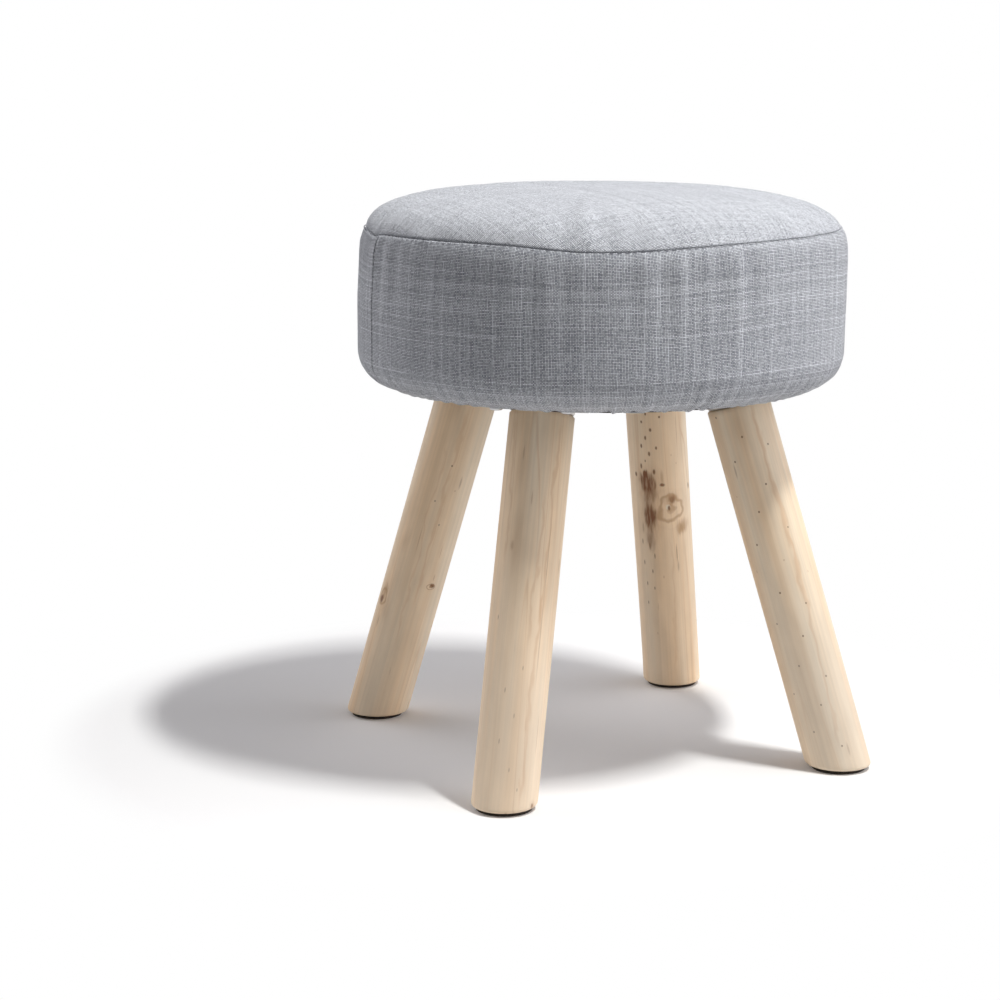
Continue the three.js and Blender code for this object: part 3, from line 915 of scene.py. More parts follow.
def wadding_inputs(graph):
    place = graph.object_place()
    fluff = graph.noise(place, scale=420, detail=4, roughness=0.7)
    clumps = graph.noise(place, scale=60)
    return dull(graph, clumps, (0.80, 0.79, 0.76), (0.92, 0.91, 0.89), 1.0, fluff, 0.8 * MM)


def foam_inputs(graph):
    place = graph.object_place()
    cells = graph.cells(place, 900)
    pale = graph.mix(graph.noise(place, scale=18, detail=3), (0.80, 0.72, 0.38), (0.86, 0.80, 0.50))
    return dull(graph, graph.range(cells, 0.0, 0.6), (0.55, 0.47, 0.2), pale, 0.95, cells, 0.4 * MM)


def plywood_inputs(graph):
    place = graph.object_place()
    streaks = graph.noise(place * (12, 340, 340), detail=3)
    layers = graph.math("SINE", graph.split(place)[2] * (2 * math.pi / (3.0 * MM)))
    face = graph.mix(streaks, (0.42, 0.27, 0.14), (0.62, 0.45, 0.27))
    share = graph.range(layers, -0.4, 0.4, 0.75, 1.0)
    return dull(graph, share, (0.2, 0.12, 0.06), face, 0.75, streaks, 0.15 * MM)


def non_woven_inputs(graph):
    place = graph.object_place()
    fibres = graph.noise(place * (1400, 900, 900), detail=4, roughness=0.7)
    relief = fibres * 0.5 + graph.cells(place, 420)
    return dull(graph, fibres, (0.006, 0.006, 0.007), (0.028, 0.028, 0.03), 0.8, relief, 0.25 * MM)


def felt_inputs(graph):
    fuzz = graph.noise(graph.object_place(), scale=1300, detail=4, roughness=0.75)
    return dull(graph, fuzz, (0.012, 0.009, 0.007), (0.05, 0.036, 0.026), 1.0, fuzz, 0.5 * MM)


def zinc_inputs(graph):
    place = graph.object_place()
    clouds = graph.noise(place, scale=55, detail=4)
    scuffs = graph.noise(place * (900, 120, 400))
    rough = clouds * 0.25 + graph.range(scuffs, 0.3, 0.7, 0.18, 0.30)
    metal = dull(graph, clouds, (0.50, 0.50, 0.51), (0.68, 0.68, 0.68), rough, scuffs, 0.03 * MM)
    return {**metal, "Metallic": 1.0}


cloth = finish_material("cloth", lambda graph: cloth_inputs(graph, seam_shaded=True))
# The top panel's copy of the cloth, with painted light
lit_top_cloth = finish_material("lit_top_cloth", lambda graph: cloth_inputs(graph, TOP_SLUBS, TOP_PAINTED_LIGHT))
thread = finish_material("thread", thread_inputs)
wadding = finish_material("wadding", wadding_inputs)
foam = finish_material("foam", foam_inputs)
plywood = finish_material("plywood", plywood_inputs)
non_woven = finish_material("non_woven", non_woven_inputs)
felt = finish_material("felt", felt_inputs)
zinc = finish_material("zinc", zinc_inputs)


def show_in(node, material):
    """Gives a node of the solids its material and leaves it where it is."""
    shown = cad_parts[node].data.materials
    shown.clear()
    shown.append(material)


def add_places(piece, places):
    """Keeps a point's own place in a named attribute that the materials read."""
    made = piece.data.attributes.new("place", "FLOAT_VECTOR", "POINT")
    made.data.foreach_set("vector", places.astype(np.float32).ravel())


# Seat covers
def make_top_cover():
    outer, line, lengths = top_cover_grid()
    points, quads, triangles = ring_solid(ply_rings(outer))
    flat = polar(lengths[:, None], seat_turns - TOP_THREAD_ANGLE)[..., :2]
    both = np.concatenate([flat, flat[::-1]]).reshape(-1, 2)
    places = np.concatenate([both, np.zeros((2, 2))])
    uvs = ("cloth", places, 0)
    piece = finish_mesh("seat_top_cover", points, quads, triangles, lit_top_cloth, "fabric", uvs)
    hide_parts("top_panel")
    return outer, line


def make_side_cover():
    outer, line, lengths = side_cover_grid()
    points, quads, triangles = ring_solid(ply_rings(outer), closed=True)
    run = np.broadcast_to(angles_from_upright * SEAT_RADIUS, outer.shape[:2])
    flat = np.stack([run, -lengths[:, None] - weft_rise(seat_turns)], -1)
    places = np.concatenate([flat, flat[::-1]]).reshape(-1, 2)
    uvs = ("cloth", places, 2 * math.pi * SEAT_RADIUS)
    piece = finish_mesh("seat_side_cover", points, quads, triangles, cloth, "fabric", uvs)
    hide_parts("side_band")
    return outer, line


top_outer, top_line = make_top_cover()
side_outer, side_cover_line = make_side_cover()


def make_stitches():
    """The lockstitches that show in the seam: short threads pulled into the cloth at both ends."""
    share = np.linspace(-1, 1, 7)
    thick = STITCH_RADIUS * np.sqrt(np.maximum(1 - share**4, STITCH_END))
    turn = even_turns(8)
    solids, places = [], []
    rng = np.random.default_rng(17)
    for number in range(STITCH_COUNT):
        angle = UPRIGHT_ANGLE + 2 * math.pi * (number + 0.5) / STITCH_COUNT
        length = STITCH_LENGTH * (1 + STITCH_SPREAD * rng.normal())
        proud = (0.35 + 0.3 * float(ramp(math.cos(angle), -0.2, 0.3))) * MM
        radius = SEAM_INNER + proud + STITCH_ARCH * (1 - share**2)
        height = SEAM_LEVEL - PLY_GAP / 2 + seam_shift(angle) + STITCH_DRIFT * rng.normal()
        out, side = across_and_round(angle)
        middle = out * radius[:, None] + side * (share * length / 2)[:, None] + UP * height
        ring = out * np.cos(turn)[:, None] + UP * np.sin(turn)[:, None]
        points = middle[:, None] + thick[:, None, None] * ring
        solids.append(ring_solid(points))
        places.append(np.concatenate([points.reshape(-1, 3), points[[0, -1]].mean(1)]))
    piece = finish_mesh("seam_stitches", *joined(solids), thread, "fabric")
    add_places(piece, np.concatenate(places))


make_stitches()


# Fillings
COARSER = 4
FOAM_EDGE = 4 * MM


def inside_of(outer, depth, rows):
    """Rows of a cover's inside, moved further in, with fewer columns."""
    grid = outer - (PLY + depth) * outward_normals(outer)
    return grid[rows][:, ::COARSER]


def make_crown_wadding():
    crown_rows = np.flatnonzero(top_line[:, 1] > RIM_LEVEL + 0.5 * MM)[::3]
    top = inside_of(top_outer, PLY_GAP, crown_rows)
    outside = ALLOWANCE_RADIUS - PLY_GAP
    low = SEAM_LEVEL - PLY
    rest = [[outside, SEAM_LEVEL + PLY + PLY_GAP]]
    rest += [[radius, low] for radius in (outside, BOARD_RADIUS, 60 * MM, 6 * MM)]
    rings = np.concatenate([top, placed(rest, seat_turns[::COARSER])])
    piece = finish_mesh("crown_filling", *ring_solid(rings), wadding, "wadding")
    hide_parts("crown_wadding")


def make_side_wadding():
    inner = BOARD_RADIUS + PLY_GAP
    shown = (side_cover_line[:, 0] > inner + 2 * MM) & (side_cover_line[:, 1] < BAND_TOP - 1 * MM)
    skin = inside_of(side_outer, PLY_GAP + 0.4 * MM, np.flatnonzero(shown)[::3])
    turns = seat_turns[::COARSER]
    top_level = SEAM_LEVEL - PLY - 3 * PLY_GAP
    top = [[inner, top_level], [SEAM_INNER - 2 * MM, top_level]]
    foot = [[inner, UNDERSIDE + PLY + 3 * PLY_GAP]]
    rings = np.concatenate([placed(top, turns), skin, placed(foot, turns)])
    piece = finish_mesh("side_filling", *ring_solid(rings, closed=True), wadding, "wadding")
    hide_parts("side_wadding")


def make_foam():
    low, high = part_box("foam_core")
    outside = BOARD_RADIUS - FOAM_EDGE
    line = np.concatenate(
        [
            resample([[5 * MM, high.z], [outside, high.z]], 8 * MM),
            arc(FOAM_EDGE, outside, high.z - FOAM_EDGE, 90, 0, 5)[1:],
            arc(FOAM_EDGE, outside, low.z + FOAM_EDGE, 0, -90, 5),
            resample([[outside, low.z], [5 * MM, low.z]], 8 * MM)[1:],
        ]
    )
    rings = turned(line, seat_turns[::5])
    piece = finish_mesh("foam_block", *ring_solid(rings), foam, "foam")
    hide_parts("foam_core")


make_crown_wadding()
make_side_wadding()
make_foam()
show_in("base_board", plywood)


# Corners: the leg's axis comes from its foot pad and its weld nut
class Corner:
    def __init__(self, name):
        self.name = name
        foot = box_middle("foot_pad_" + name)
        foot.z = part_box("foot_pad_" + name)[1].z
        self.axis = (box_middle("plate_nut_" + name) - foot).normalized()
        self.out = Vector((-self.axis.x, -self.axis.y, 0)).normalized()
        self.up = Vector(UP)
        self.side = self.up.cross(self.out)
        self.splay = math.acos(self.axis.z)
        self.lean = self.side.cross(self.axis)
        self.floor_point = foot - self.axis * (foot.z / self.axis.z)
        self.plate_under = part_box("leg_plate_" + name)[1].z - PLATE
        self.middle = self.at_level(self.plate_under)
        self.middle.z = 0
        self.leg_turn = np.array([self.lean, self.side, self.axis])
        self.seed = int(10 * WOODS[name][0])

    def at_level(self, height):
        return self.floor_point + self.axis * (height / self.axis.z)

    def in_leg(self, points):
        """Points of the leg's frame, whose third axis runs up along the leg, in the stool's."""
        return points @ self.leg_turn + np.array(self.floor_point)

    def in_corner(self, points):
        """Points of the upright frame under the plate's middle, in the stool's."""
        return points @ np.array([self.out, self.side, self.up]) + np.array(self.middle)

    def level_along(self, x, height):
        return (height - x * math.sin(self.splay)) / math.cos(self.splay)

    def boss_face(self):
        """Where the boss's slanted face lies along the leg's axis."""
        level = self.plate_under - BOSS_LIFT - BOSS_FACE * math.sin(self.splay)
        return level / math.cos(self.splay)

    def facing_angle(self):
        """Angle round the leg of the side that faces the camera."""
        to_eye = eye - self.floor_point
        return math.atan2(to_eye.dot(self.side), to_eye.dot(self.lean))

    def bark_place(self, x_px, y_px):
        """A pixel's place on the leg's skin: run round it from the side that faces the camera, and height."""
        start = self.leg_turn @ np.array(eye - self.floor_point)
        ray = self.leg_turn @ np.array(sight_line(x_px, y_px))
        a = ray[0] ** 2 + ray[1] ** 2
        b = start[0] * ray[0] + start[1] * ray[1]
        c = start[0] ** 2 + start[1] ** 2 - LEG_RADIUS**2
        reach = (-b - math.sqrt(max(b * b - a * c, 0))) / a
        hit = start + ray * reach
        return LEG_RADIUS * float(turn_between(math.atan2(hit[1], hit[0]), self.facing_angle())), hit[2]


# Wood marks. Each place is a pixel of the picture, cast onto the leg; widths and lengths are millimetres.
PIN = (0.22, 0.105, 0.045)
BROWN = (0.22, 0.095, 0.042)
TAN = (0.47, 0.27, 0.13)
ORANGE = (0.66, 0.39, 0.19)
PALE = (0.86, 0.74, 0.58)
SHADE_GREY = (0.52, 0.46, 0.40)
CREAM = (0.93, 0.785, 0.60)
WARM = (0.88, 0.64, 0.41)
# Each kind of mark: its colour, strength, softness and raggedness
KINDS = {
    "pin": (PIN, 0.9, 0.5, 0.15),
    "dash": (PIN, 0.75, 0.5, 0.2),
    "faint": (TAN, 0.45, 0.7, 0.35),
    "stain": (BROWN, 0.92, 0.4, 0.5),
    "streak": (BROWN, 0.55, 0.6, 0.5),
    # The veil is painted shade: a wide, soft darkening of a leg's lit lower part
    "shade_veil": (SHADE_GREY, 0.36, 1.0, 0.1),
    "patch": (TAN, 0.6, 0.7, 0.6),
    "halo": (TAN, 0.5, 0.8, 0.35),
    "core": (BROWN, 0.92, 0.5, 0.4),
    "eye": (PALE, 0.9, 0.35, 0.2),
    "shade": (TAN, 0.22, 1.0, 0.3),
    "swirl": (TAN, 0.62, 0.35, 0.05),
}
MARKS = {
    "back_left": (
        (383, 597, 11.0, 16.0, "swirl"), (383, 596, 7.0, 10.0, "halo"), (382, 598, 3.8, 5.0, "core"),
        (386, 589, 4.0, 8.0, "patch"),
        (385, 610, 6.5, 12.0, "shade"), (432, 586, 3.6, 2.8, "core"), (431, 587, 8.0, 5.5, "swirl"),
        (434, 578, 0.9, 4.5, "faint"), (452, 466, 1.0, 1.2, "pin"), (435, 501, 0.9, 1.1, "dash"),
        (439, 525, 0.8, 1.2, "dash"), (455, 491, 1.0, 1.0, "faint"), (405, 541, 5.0, 12.0, "shade"),
        (461, 398, 4.0, 20.0, "shade"), (441, 552, 0.5, 9.0, "faint"), (419, 540, 0.5, 14.0, "faint"),
    ),
    "front_left": (
        (520, 470, 4.5, 26.0, "shade"), (516, 540, 5.0, 30.0, "shade"), (524, 452, 1.0, 8.0, "faint"),
        (512, 545, 2.2, 5.0, "faint"), (532, 498, 0.7, 7.0, "faint"), (548, 560, 0.7, 40.0, "faint"),
        (540, 640, 0.8, 42.0, "faint"), (505, 690, 0.5, 3.0, "dash"), (514, 716, 0.5, 2.6, "dash"),
        (499, 741, 0.5, 3.0, "dash"), (523, 668, 0.5, 2.5, "dash"), (509, 770, 0.5, 2.5, "dash"),
        (517, 790, 0.5, 2.0, "dash"), (532, 806, 2.2, 2.6, "core"), (532, 806, 4.2, 5.0, "halo"),
        # The last mark, a veil, is painted shade over the leg's lit lower part
        (498, 617, 0.5, 3.0, "dash"), (537, 735, 0.6, 22.0, "faint"), (520, 745, 60.0, 150.0, "shade_veil"),
    ),
    "back_right": (
        (648, 484, 15.0, 24.0, "halo"), (647, 482, 11.0, 16.0, "stain"), (651, 494, 7.5, 12.0, "streak"),
        (651, 518, 12.0, 30.0, "halo"), (650, 517, 8.0, 20.0, "stain"),
        (651, 540, 5.0, 16.0, "streak"), (645, 474, 3.6, 6.0, "stain"), (647, 500, 5.0, 12.0, "streak"),
        (645, 414, 1.3, 2.3, "pin"), (659, 417, 1.3, 1.7, "pin"), (641, 422, 1.3, 2.0, "pin"),
        (650, 430, 1.6, 2.5, "pin"), (645, 438, 1.4, 2.9, "pin"), (641, 446, 1.4, 2.9, "pin"),
        (656, 448, 1.3, 2.3, "pin"), (649, 454, 1.6, 3.2, "pin"), (641, 466, 1.3, 3.5, "pin"),
        (645, 461, 0.9, 1.8, "dash"), (654, 472, 1.7, 3.8, "pin"), (636, 474, 1.9, 3.2, "pin"),
        (662, 485, 3.2, 2.4, "core"), (662, 478, 1.8, 10.0, "faint"), (672, 499, 5.0, 5.6, "core"),
        (671, 499, 9.0, 9.0, "halo"), (671, 509, 24.0, 27.0, "swirl"), (668, 507, 3.0, 4.0, "eye"),
        (669, 508, 1.7, 3.5, "pin"),
        (683, 526, 9.0, 10.0, "patch"), (681, 528, 5.5, 6.5, "patch"), (688, 485, 1.6, 4.0, "core"),
        (677, 553, 0.5, 12.0, "dash"), (643, 541, 0.8, 4.0, "dash"), (650, 546, 0.8, 5.0, "dash"),
        (655, 556, 0.8, 4.0, "dash"), (645, 562, 0.8, 3.4, "dash"), (653, 571, 0.8, 3.0, "dash"),
        (648, 583, 0.8, 3.0, "dash"), (655, 588, 0.8, 2.4, "dash"), (649, 602, 0.7, 2.4, "dash"),
        (658, 633, 0.7, 2.0, "faint"), (664, 577, 0.8, 2.0, "faint"), (671, 455, 0.8, 1.4, "faint"),
        (676, 463, 0.7, 1.2, "faint"), (639, 520, 2.4, 24.0, "shade"), (676, 430, 0.6, 26.0, "faint"),
    ),
    "front_right": (
        (716, 418, 1.1, 1.3, "pin"), (742, 437, 1.2, 1.4, "pin"), (768, 444, 1.0, 1.2, "pin"),
        (735, 462, 1.1, 1.3, "pin"), (766, 484, 1.1, 1.3, "pin"), (737, 497, 0.9, 1.1, "faint"),
        (759, 512, 1.1, 1.3, "pin"), (788, 527, 0.9, 1.1, "dash"), (757, 545, 1.1, 1.3, "pin"),
        (784, 560, 0.9, 1.1, "faint"), (780, 593, 1.1, 1.3, "pin"), (806, 603, 1.0, 1.2, "pin"),
        (777, 624, 1.0, 1.2, "dash"), (803, 636, 1.1, 1.3, "pin"), (799, 666, 1.0, 1.2, "dash"),
        (826, 676, 1.1, 1.3, "pin"), (794, 694, 0.9, 1.1, "dash"), (821, 705, 1.0, 1.2, "pin"),
        (814, 732, 1.0, 1.2, "dash"), (842, 746, 1.1, 1.3, "pin"), (757, 572, 0.8, 1.6, "faint"),
        # The last mark, a veil, is painted shade over the leg's lit lower part
        (808, 571, 0.7, 1.4, "faint"), (740, 430, 6.0, 22.0, "shade"), (845, 720, 60.0, 130.0, "shade_veil"),
    ),
}
# Darker growth lines along a leg, each between two pixels, with its width and strength
LINES = {
    "back_left": ((468, 412, 415, 600, 0.9, 0.30), (445, 450, 396, 640, 0.7, 0.22)),
    "front_left": (
        (560, 430, 520, 800, 1.1, 0.40), (545, 500, 528, 640, 0.8, 0.35), (516, 420, 505, 560, 1.0, 0.3),
    ),
    "back_right": ((679, 415, 688, 480, 0.8, 0.35), (672, 540, 676, 670, 0.7, 0.2)),
    "front_right": ((752, 410, 806, 600, 1.2, 0.38), (806, 600, 838, 740, 1.0, 0.28)),
}
# Per leg: seed, share of tan in its tone, strength of the growth lines, count of pin knots out of sight
WOODS = {
    "back_left": (3.1, 0.52, 0.26, 10),
    "front_left": (7.7, 0.40, 0.34, 12),
    "back_right": (12.3, 0.35, 0.26, 16),
    "front_right": (18.9, 0.30, 0.14, 14),
}
# Small knots out of sight: angles from the side that faces the camera, heights and widths in millimetres
HIDDEN_MARK_TURNS = (1.7, 4.6)
HIDDEN_MARK_LEVELS = (15, 225)
HIDDEN_MARK_SIZES = (0.8, 1.3)
HALF_GIRTH = math.pi * LEG_RADIUS
LINE_SWAY = 9 * MM
LINE_FADE = 10 * MM
FLOW_LINES = 15.0
MOTTLE = (0.95, 1.04)
STREAKS_PER_M = 520
STREAK_TONES = (0.925, 1.055)
FLECKS_PER_M = 330
FLECK_SHARE = 0.035
FLECK_STRENGTH = 0.35
RAGGEDNESS = 2.4
SWIRL_FLOW = 0.7
SWIRL_RINGS = 11.0
FIBROUS = ("stain", "streak", "halo")
DENTED = ("pin", "core", "stain")
MOST_DENTS = 24

corners = [Corner(name) for name in CORNERS]


def growth_line(graph, corner, bark, wobble, line):
    """Share of one wavering growth line that runs between two pixels of the picture."""
    x0, y0, x1, y1, width, weight = line
    run, along, _ = graph.split(bark)
    (run0, along0), (run1, along1) = corner.bark_place(x0, y0), corner.bark_place(x1, y1)
    centre = (along - along0) * ((run1 - run0) / (along1 - along0)) + run0
    away = graph.math("ABSOLUTE", run - centre + (wobble - 0.5) * LINE_SWAY)
    low, high = sorted((along0, along1))
    begun = graph.range(along, low - LINE_FADE, low + LINE_FADE, smooth=True)
    unended = graph.range(along, high + LINE_FADE, high - LINE_FADE, smooth=True)
    return graph.range(away, 1.6 * width * MM, 0.2 * width * MM, smooth=True) * (begun * unended) * weight


def marks_of(corner):
    """Run, height, width, length and kind of each mark: those placed by pixel, then those out of sight."""
    rng = np.random.default_rng(corner.seed)
    marks = [(*corner.bark_place(x, y), *looks) for x, y, *looks in MARKS[corner.name]]
    for _ in range(WOODS[corner.name][3]):
        run = LEG_RADIUS * rng.uniform(*HIDDEN_MARK_TURNS)
        along = rng.uniform(*HIDDEN_MARK_LEVELS) * MM
        size = rng.uniform(*HIDDEN_MARK_SIZES)
        marks.append(((run + HALF_GIRTH) % (2 * HALF_GIRTH) - HALF_GIRTH, along, size, size * 1.3, "pin"))
    return marks


def plain_wood(graph, corner, own, streaks):
    """Colour of the wood without its marks: broad tints, growth lines, streaks, mottle and flecks."""
    _, tan_share, line_strength, _ = WOODS[corner.name]
    drawn = own * (1, 1, 0.05)
    low = 0.62 - 0.35 * tan_share
    broad = graph.range(graph.noise(drawn, scale=48, detail=3), low - 0.14, low + 0.2)
    colour = graph.mix(broad, CREAM, WARM)
    flow = graph.noise(own * (1, 1, 0.035), scale=62, detail=1)
    lines = graph.range(graph.math("PINGPONG", flow * FLOW_LINES, 1.0), 0.80, 0.98, smooth=True)
    patchy = graph.range(graph.noise(drawn, scale=90, detail=1), 0.42, 0.6)
    colour = graph.mix(lines * patchy * line_strength, colour, ORANGE)
    mottle = graph.range(graph.noise(own * (1, 1, 0.3), scale=120, detail=3), 0.3, 0.7, *MOTTLE)
    tone = graph.range(streaks, 0.25, 0.75, *STREAK_TONES) * mottle
    colour = graph.mix(1.0, colour, graph.join(tone, tone, tone), blend="MULTIPLY")
    flecks = own * (1, 1, 0.16)
    kinds = graph.split(graph.cells(flecks, FLECKS_PER_M, "Color"))[0]
    chosen = graph.math("GREATER_THAN", kinds, 1 - FLECK_SHARE)
    fleck = graph.range(graph.cells(flecks, FLECKS_PER_M), 0.30, 0.12) * chosen
    return graph.mix(fleck * FLECK_STRENGTH, colour, PIN)


def wood_inputs(graph, corner):
    seed = WOODS[corner.name][0]
    own = graph.attribute("place") + (0.37 * seed, 0.21 * seed, 0.53 * seed)
    bark = graph.uv("bark")
    streaks = graph.noise(own * (1, 1, 0.012), scale=STREAKS_PER_M, detail=3)
    colour = plain_wood(graph, corner, own, streaks)
    wobble = graph.noise(bark * (150, 45, 0))
    for line in LINES[corner.name]:
        colour = graph.mix(growth_line(graph, corner, bark, wobble, line), colour, ORANGE)
    rough_edge = graph.noise(bark * (1, 0.16, 0), scale=620, output=1)
    shift = rough_edge - (0.5, 0.5, 0.5)
    fibres = graph.range(graph.split(rough_edge)[2], 0.38, 0.56, 0.66, 1.05)
    flow_shift = graph.noise(bark, scale=110, detail=1, output=1) - (0.5, 0.5, 0.5)
    relief = streaks * 0.35
    dents = 0
    for run, along, width, length, kind in marks_of(corner):
        tint, weight, softness_share, ragged = KINDS[kind]
        stretch = (2 / (width * MM), 2 / (length * MM), 0)
        away = (bark - (run, along, 0)) * stretch + shift * (RAGGEDNESS * ragged)
        if kind == "swirl":
            away = away + flow_shift * SWIRL_FLOW
        distance = graph.vector("LENGTH", away * (1, 1, 0))
        share = graph.range(distance, 1 + softness_share, 1 - softness_share, smooth=True)
        if kind == "swirl":
            share = share * graph.range(graph.math("SINE", distance * SWIRL_RINGS), -0.3, 1.0)
        if kind in FIBROUS:
            share = share * fibres
        share = share * weight
        colour = graph.mix(share, colour, tint)
        if kind in DENTED and dents < MOST_DENTS:
            relief = relief - share * 0.5
            dents += 1
    return {
        "Base Color": colour,
        "Roughness": graph.range(streaks, 0.2, 0.8, 0.50, 0.66),
        "Specular IOR Level": 0.35,
        "Normal": graph.bump(relief, 0.15 * MM, strength=0.6),
    }


# Pole legs
FOOT_STEPS = 6
LEG_UNEVENNESS = 0.12 * MM


def make_leg(corner):
    foot = PAD_THICKNESS + FIT_GAP
    top = corner.boss_face() - FIT_GAP
    facing = corner.facing_angle()
    turn = facing - math.pi + even_turns(LEG_SIDES)
    rows = []

    def level_ring(radius, height):
        rows.append(polar(radius, turn, corner.level_along(radius * np.cos(turn), height)))

    level_ring(LEG_RADIUS - 3 * FOOT_ROUND, foot)
    for inward, upward in 1 - arc(1, 0, 0, 0, 90, FOOT_STEPS)[:, ::-1]:
        level_ring(LEG_RADIUS - FOOT_ROUND * inward, foot + FOOT_ROUND * upward)
    upper = top - TOP_CHAMFER
    for share in np.arange(1, LEG_ROWS + 1) / LEG_ROWS:
        away = ripple(turn, range(2, 5), corner.seed) * math.sin(5 * share + corner.seed)
        fade = float(ramp(share, 0, 0.06) * (1 - ramp(share, 0.94, 1)))
        radius = LEG_RADIUS + LEG_UNEVENNESS * away * fade
        low = corner.level_along(radius * np.cos(turn), foot + FOOT_ROUND)
        rows.append(polar(radius, turn, low * (1 - share) + upper * share))
    for radius, height in ((LEG_RADIUS - TOP_CHAMFER, top), (BOLT_HOLE, top), (BOLT_HOLE, top - BOLT_IN_LEG)):
        rows.append(polar(radius, turn, height))
    rings = np.array(rows)
    local, quads, triangles = ring_solid(rings)
    run = np.broadcast_to((turn - facing) * LEG_RADIUS, rings.shape[:2])
    flat = np.concatenate([np.stack([run, rings[..., 2]], -1).reshape(-1, 2), local[-2:, [0, 2]]])
    material = finish_material("pine_" + corner.name, lambda graph: wood_inputs(graph, corner))
    bark = ("bark", flat, 2 * HALF_GIRTH)
    points = corner.in_leg(local)
    piece = finish_mesh("pole_leg_" + corner.name, points, quads, triangles, material, "pine", bark)
    add_places(piece, local)
    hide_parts("leg_" + corner.name)


PAD_EDGE = 0.5 * MM
PAD_SIDES = 72
PAD_UNEVENNESS = 0.004


def make_pad(corner):
    centre = corner.at_level(PAD_THICKNESS)
    outside = PAD_RADIUS - PAD_EDGE
    profile = np.concatenate(
        [
            [[3 * MM, 0], [outside - PAD_EDGE, 0]],
            arc(PAD_EDGE, outside, PAD_EDGE, -90, 0, 4),
            [[PAD_RADIUS - 0.1 * MM, PAD_THICKNESS / 2]],
            arc(PAD_EDGE, outside, PAD_THICKNESS - PAD_EDGE, 0, 90, 4),
            [[3 * MM, PAD_THICKNESS]],
        ]
    )
    turn = even_turns(PAD_SIDES)
    swell = 1 - PAD_UNEVENNESS * np.abs(ripple(turn, range(8, 30), corner.seed + 1))
    rings = turned(profile, turn, swell) + np.array([centre.x, centre.y, 0])
    piece = finish_mesh("felt_pad_" + corner.name, *ring_solid(rings), felt, "felt")
    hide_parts("foot_pad_" + corner.name)


# Leg plates: a square flange with a slanted boss pressed out of it
BOSS_BEND = 2.5 * MM
PLATE_SIDES = 128
FACE_RINGS = (BOLT_HOLE, 8 * MM, 13 * MM)
BEND_SHARES = (0.25, 0.5, 0.75, 1.0)
WALL_SHARES = (0.5, 0.85)
# Each ring of the flange: its share of the way to the edge, and how far the edge has rounded off
FLANGE_RINGS = ((0.10, 0.0), (0.5, 0.0), (0.92, 0.0), (0.985, 0.12 * MM), (1.0, 0.5 * MM))


def rounded_square(half, corner_radius, turns):
    """Radius of a square with round corners at each angle."""
    folded = np.abs((turns + math.pi / 4) % (math.pi / 2) - math.pi / 4)
    middle = half - corner_radius
    reach = middle * (np.cos(folded) + np.sin(folded))
    spread = middle * (np.cos(folded) - np.sin(folded))
    rounded = reach + np.sqrt(np.maximum(corner_radius**2 - spread**2, 0))
    return np.where(half * np.tan(folded) > middle, rounded, half / np.cos(folded))


def plate_surface(corner, depth):
    """Rings of the plate's underside from its bolt hole to its edge, or of its top for a depth of a wall."""
    turn = even_turns(PLATE_SIDES)
    face = corner.boss_face() + depth
    rings = [polar(radius, turn, face) for radius in (*FACE_RINGS, BOSS_FACE - BOSS_BEND - depth)]
    root_radius = BOSS_FACE + BOSS_FLARE - depth
    root_height = corner.level_along(root_radius * np.cos(turn), corner.plate_under + depth)
    root = polar(root_radius, turn, root_height)
    rim = polar(BOSS_FACE - depth, turn, face)
    start = rings[-1]
    bend_end = rim * 0.8 + root * 0.2
    for share in BEND_SHARES:
        rings.append(start * (1 - share) ** 2 + rim * 2 * share * (1 - share) + bend_end * share**2)
    for share in WALL_SHARES:
        rings.append(bend_end * (1 - share) + root * share)
    rings = [corner.in_leg(ring) for ring in rings]
    away = corner.in_leg(root) - np.array(corner.middle)
    along, aside = away @ np.array(corner.out), away @ np.array(corner.side)
    angle = np.arctan2(aside, along)
    inner = np.hypot(along, aside)
    half = (BOSS_FACE + BOSS_FLARE) / math.cos(corner.splay) + FLANGE_MARGIN
    edge = rounded_square(half, PLATE_CORNER, angle)
    inward = -1 if depth else 1
    for share, drop in FLANGE_RINGS:
        height = corner.plate_under + depth + drop * inward
        rings.append(corner.in_corner(polar(inner * (1 - share) + edge * share, angle, height)))
    return np.array(rings)


def make_plate(corner):
    rings = np.concatenate([plate_surface(corner, 0.0), plate_surface(corner, PLATE)[::-1]])
    piece = finish_mesh("pressed_plate_" + corner.name, *ring_solid(rings, closed=True), zinc, "zinc")
    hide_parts("leg_plate_" + corner.name)


# Pan-head screws with a cross recess and a wood thread
SCREW_RADIUS = 2 * MM
SCREW_LENGTH = 13 * MM
SCREW_TIP = 3 * MM
HEAD_RADIUS = 4 * MM
HEAD_HEIGHT = 2.2 * MM
HEAD_ROUND = 0.9 * MM
RECESS_REACH = 2.2 * MM
RECESS_WIDTH = 0.45 * MM
RECESS_DEPTH = 1.3 * MM
RECESS_TAPER = 0.35
SCREW_SIDES = 48
HEAD_RINGS = 18
THREAD_STEP = 1.4 * MM
THREAD_DEPTH = 0.45 * MM


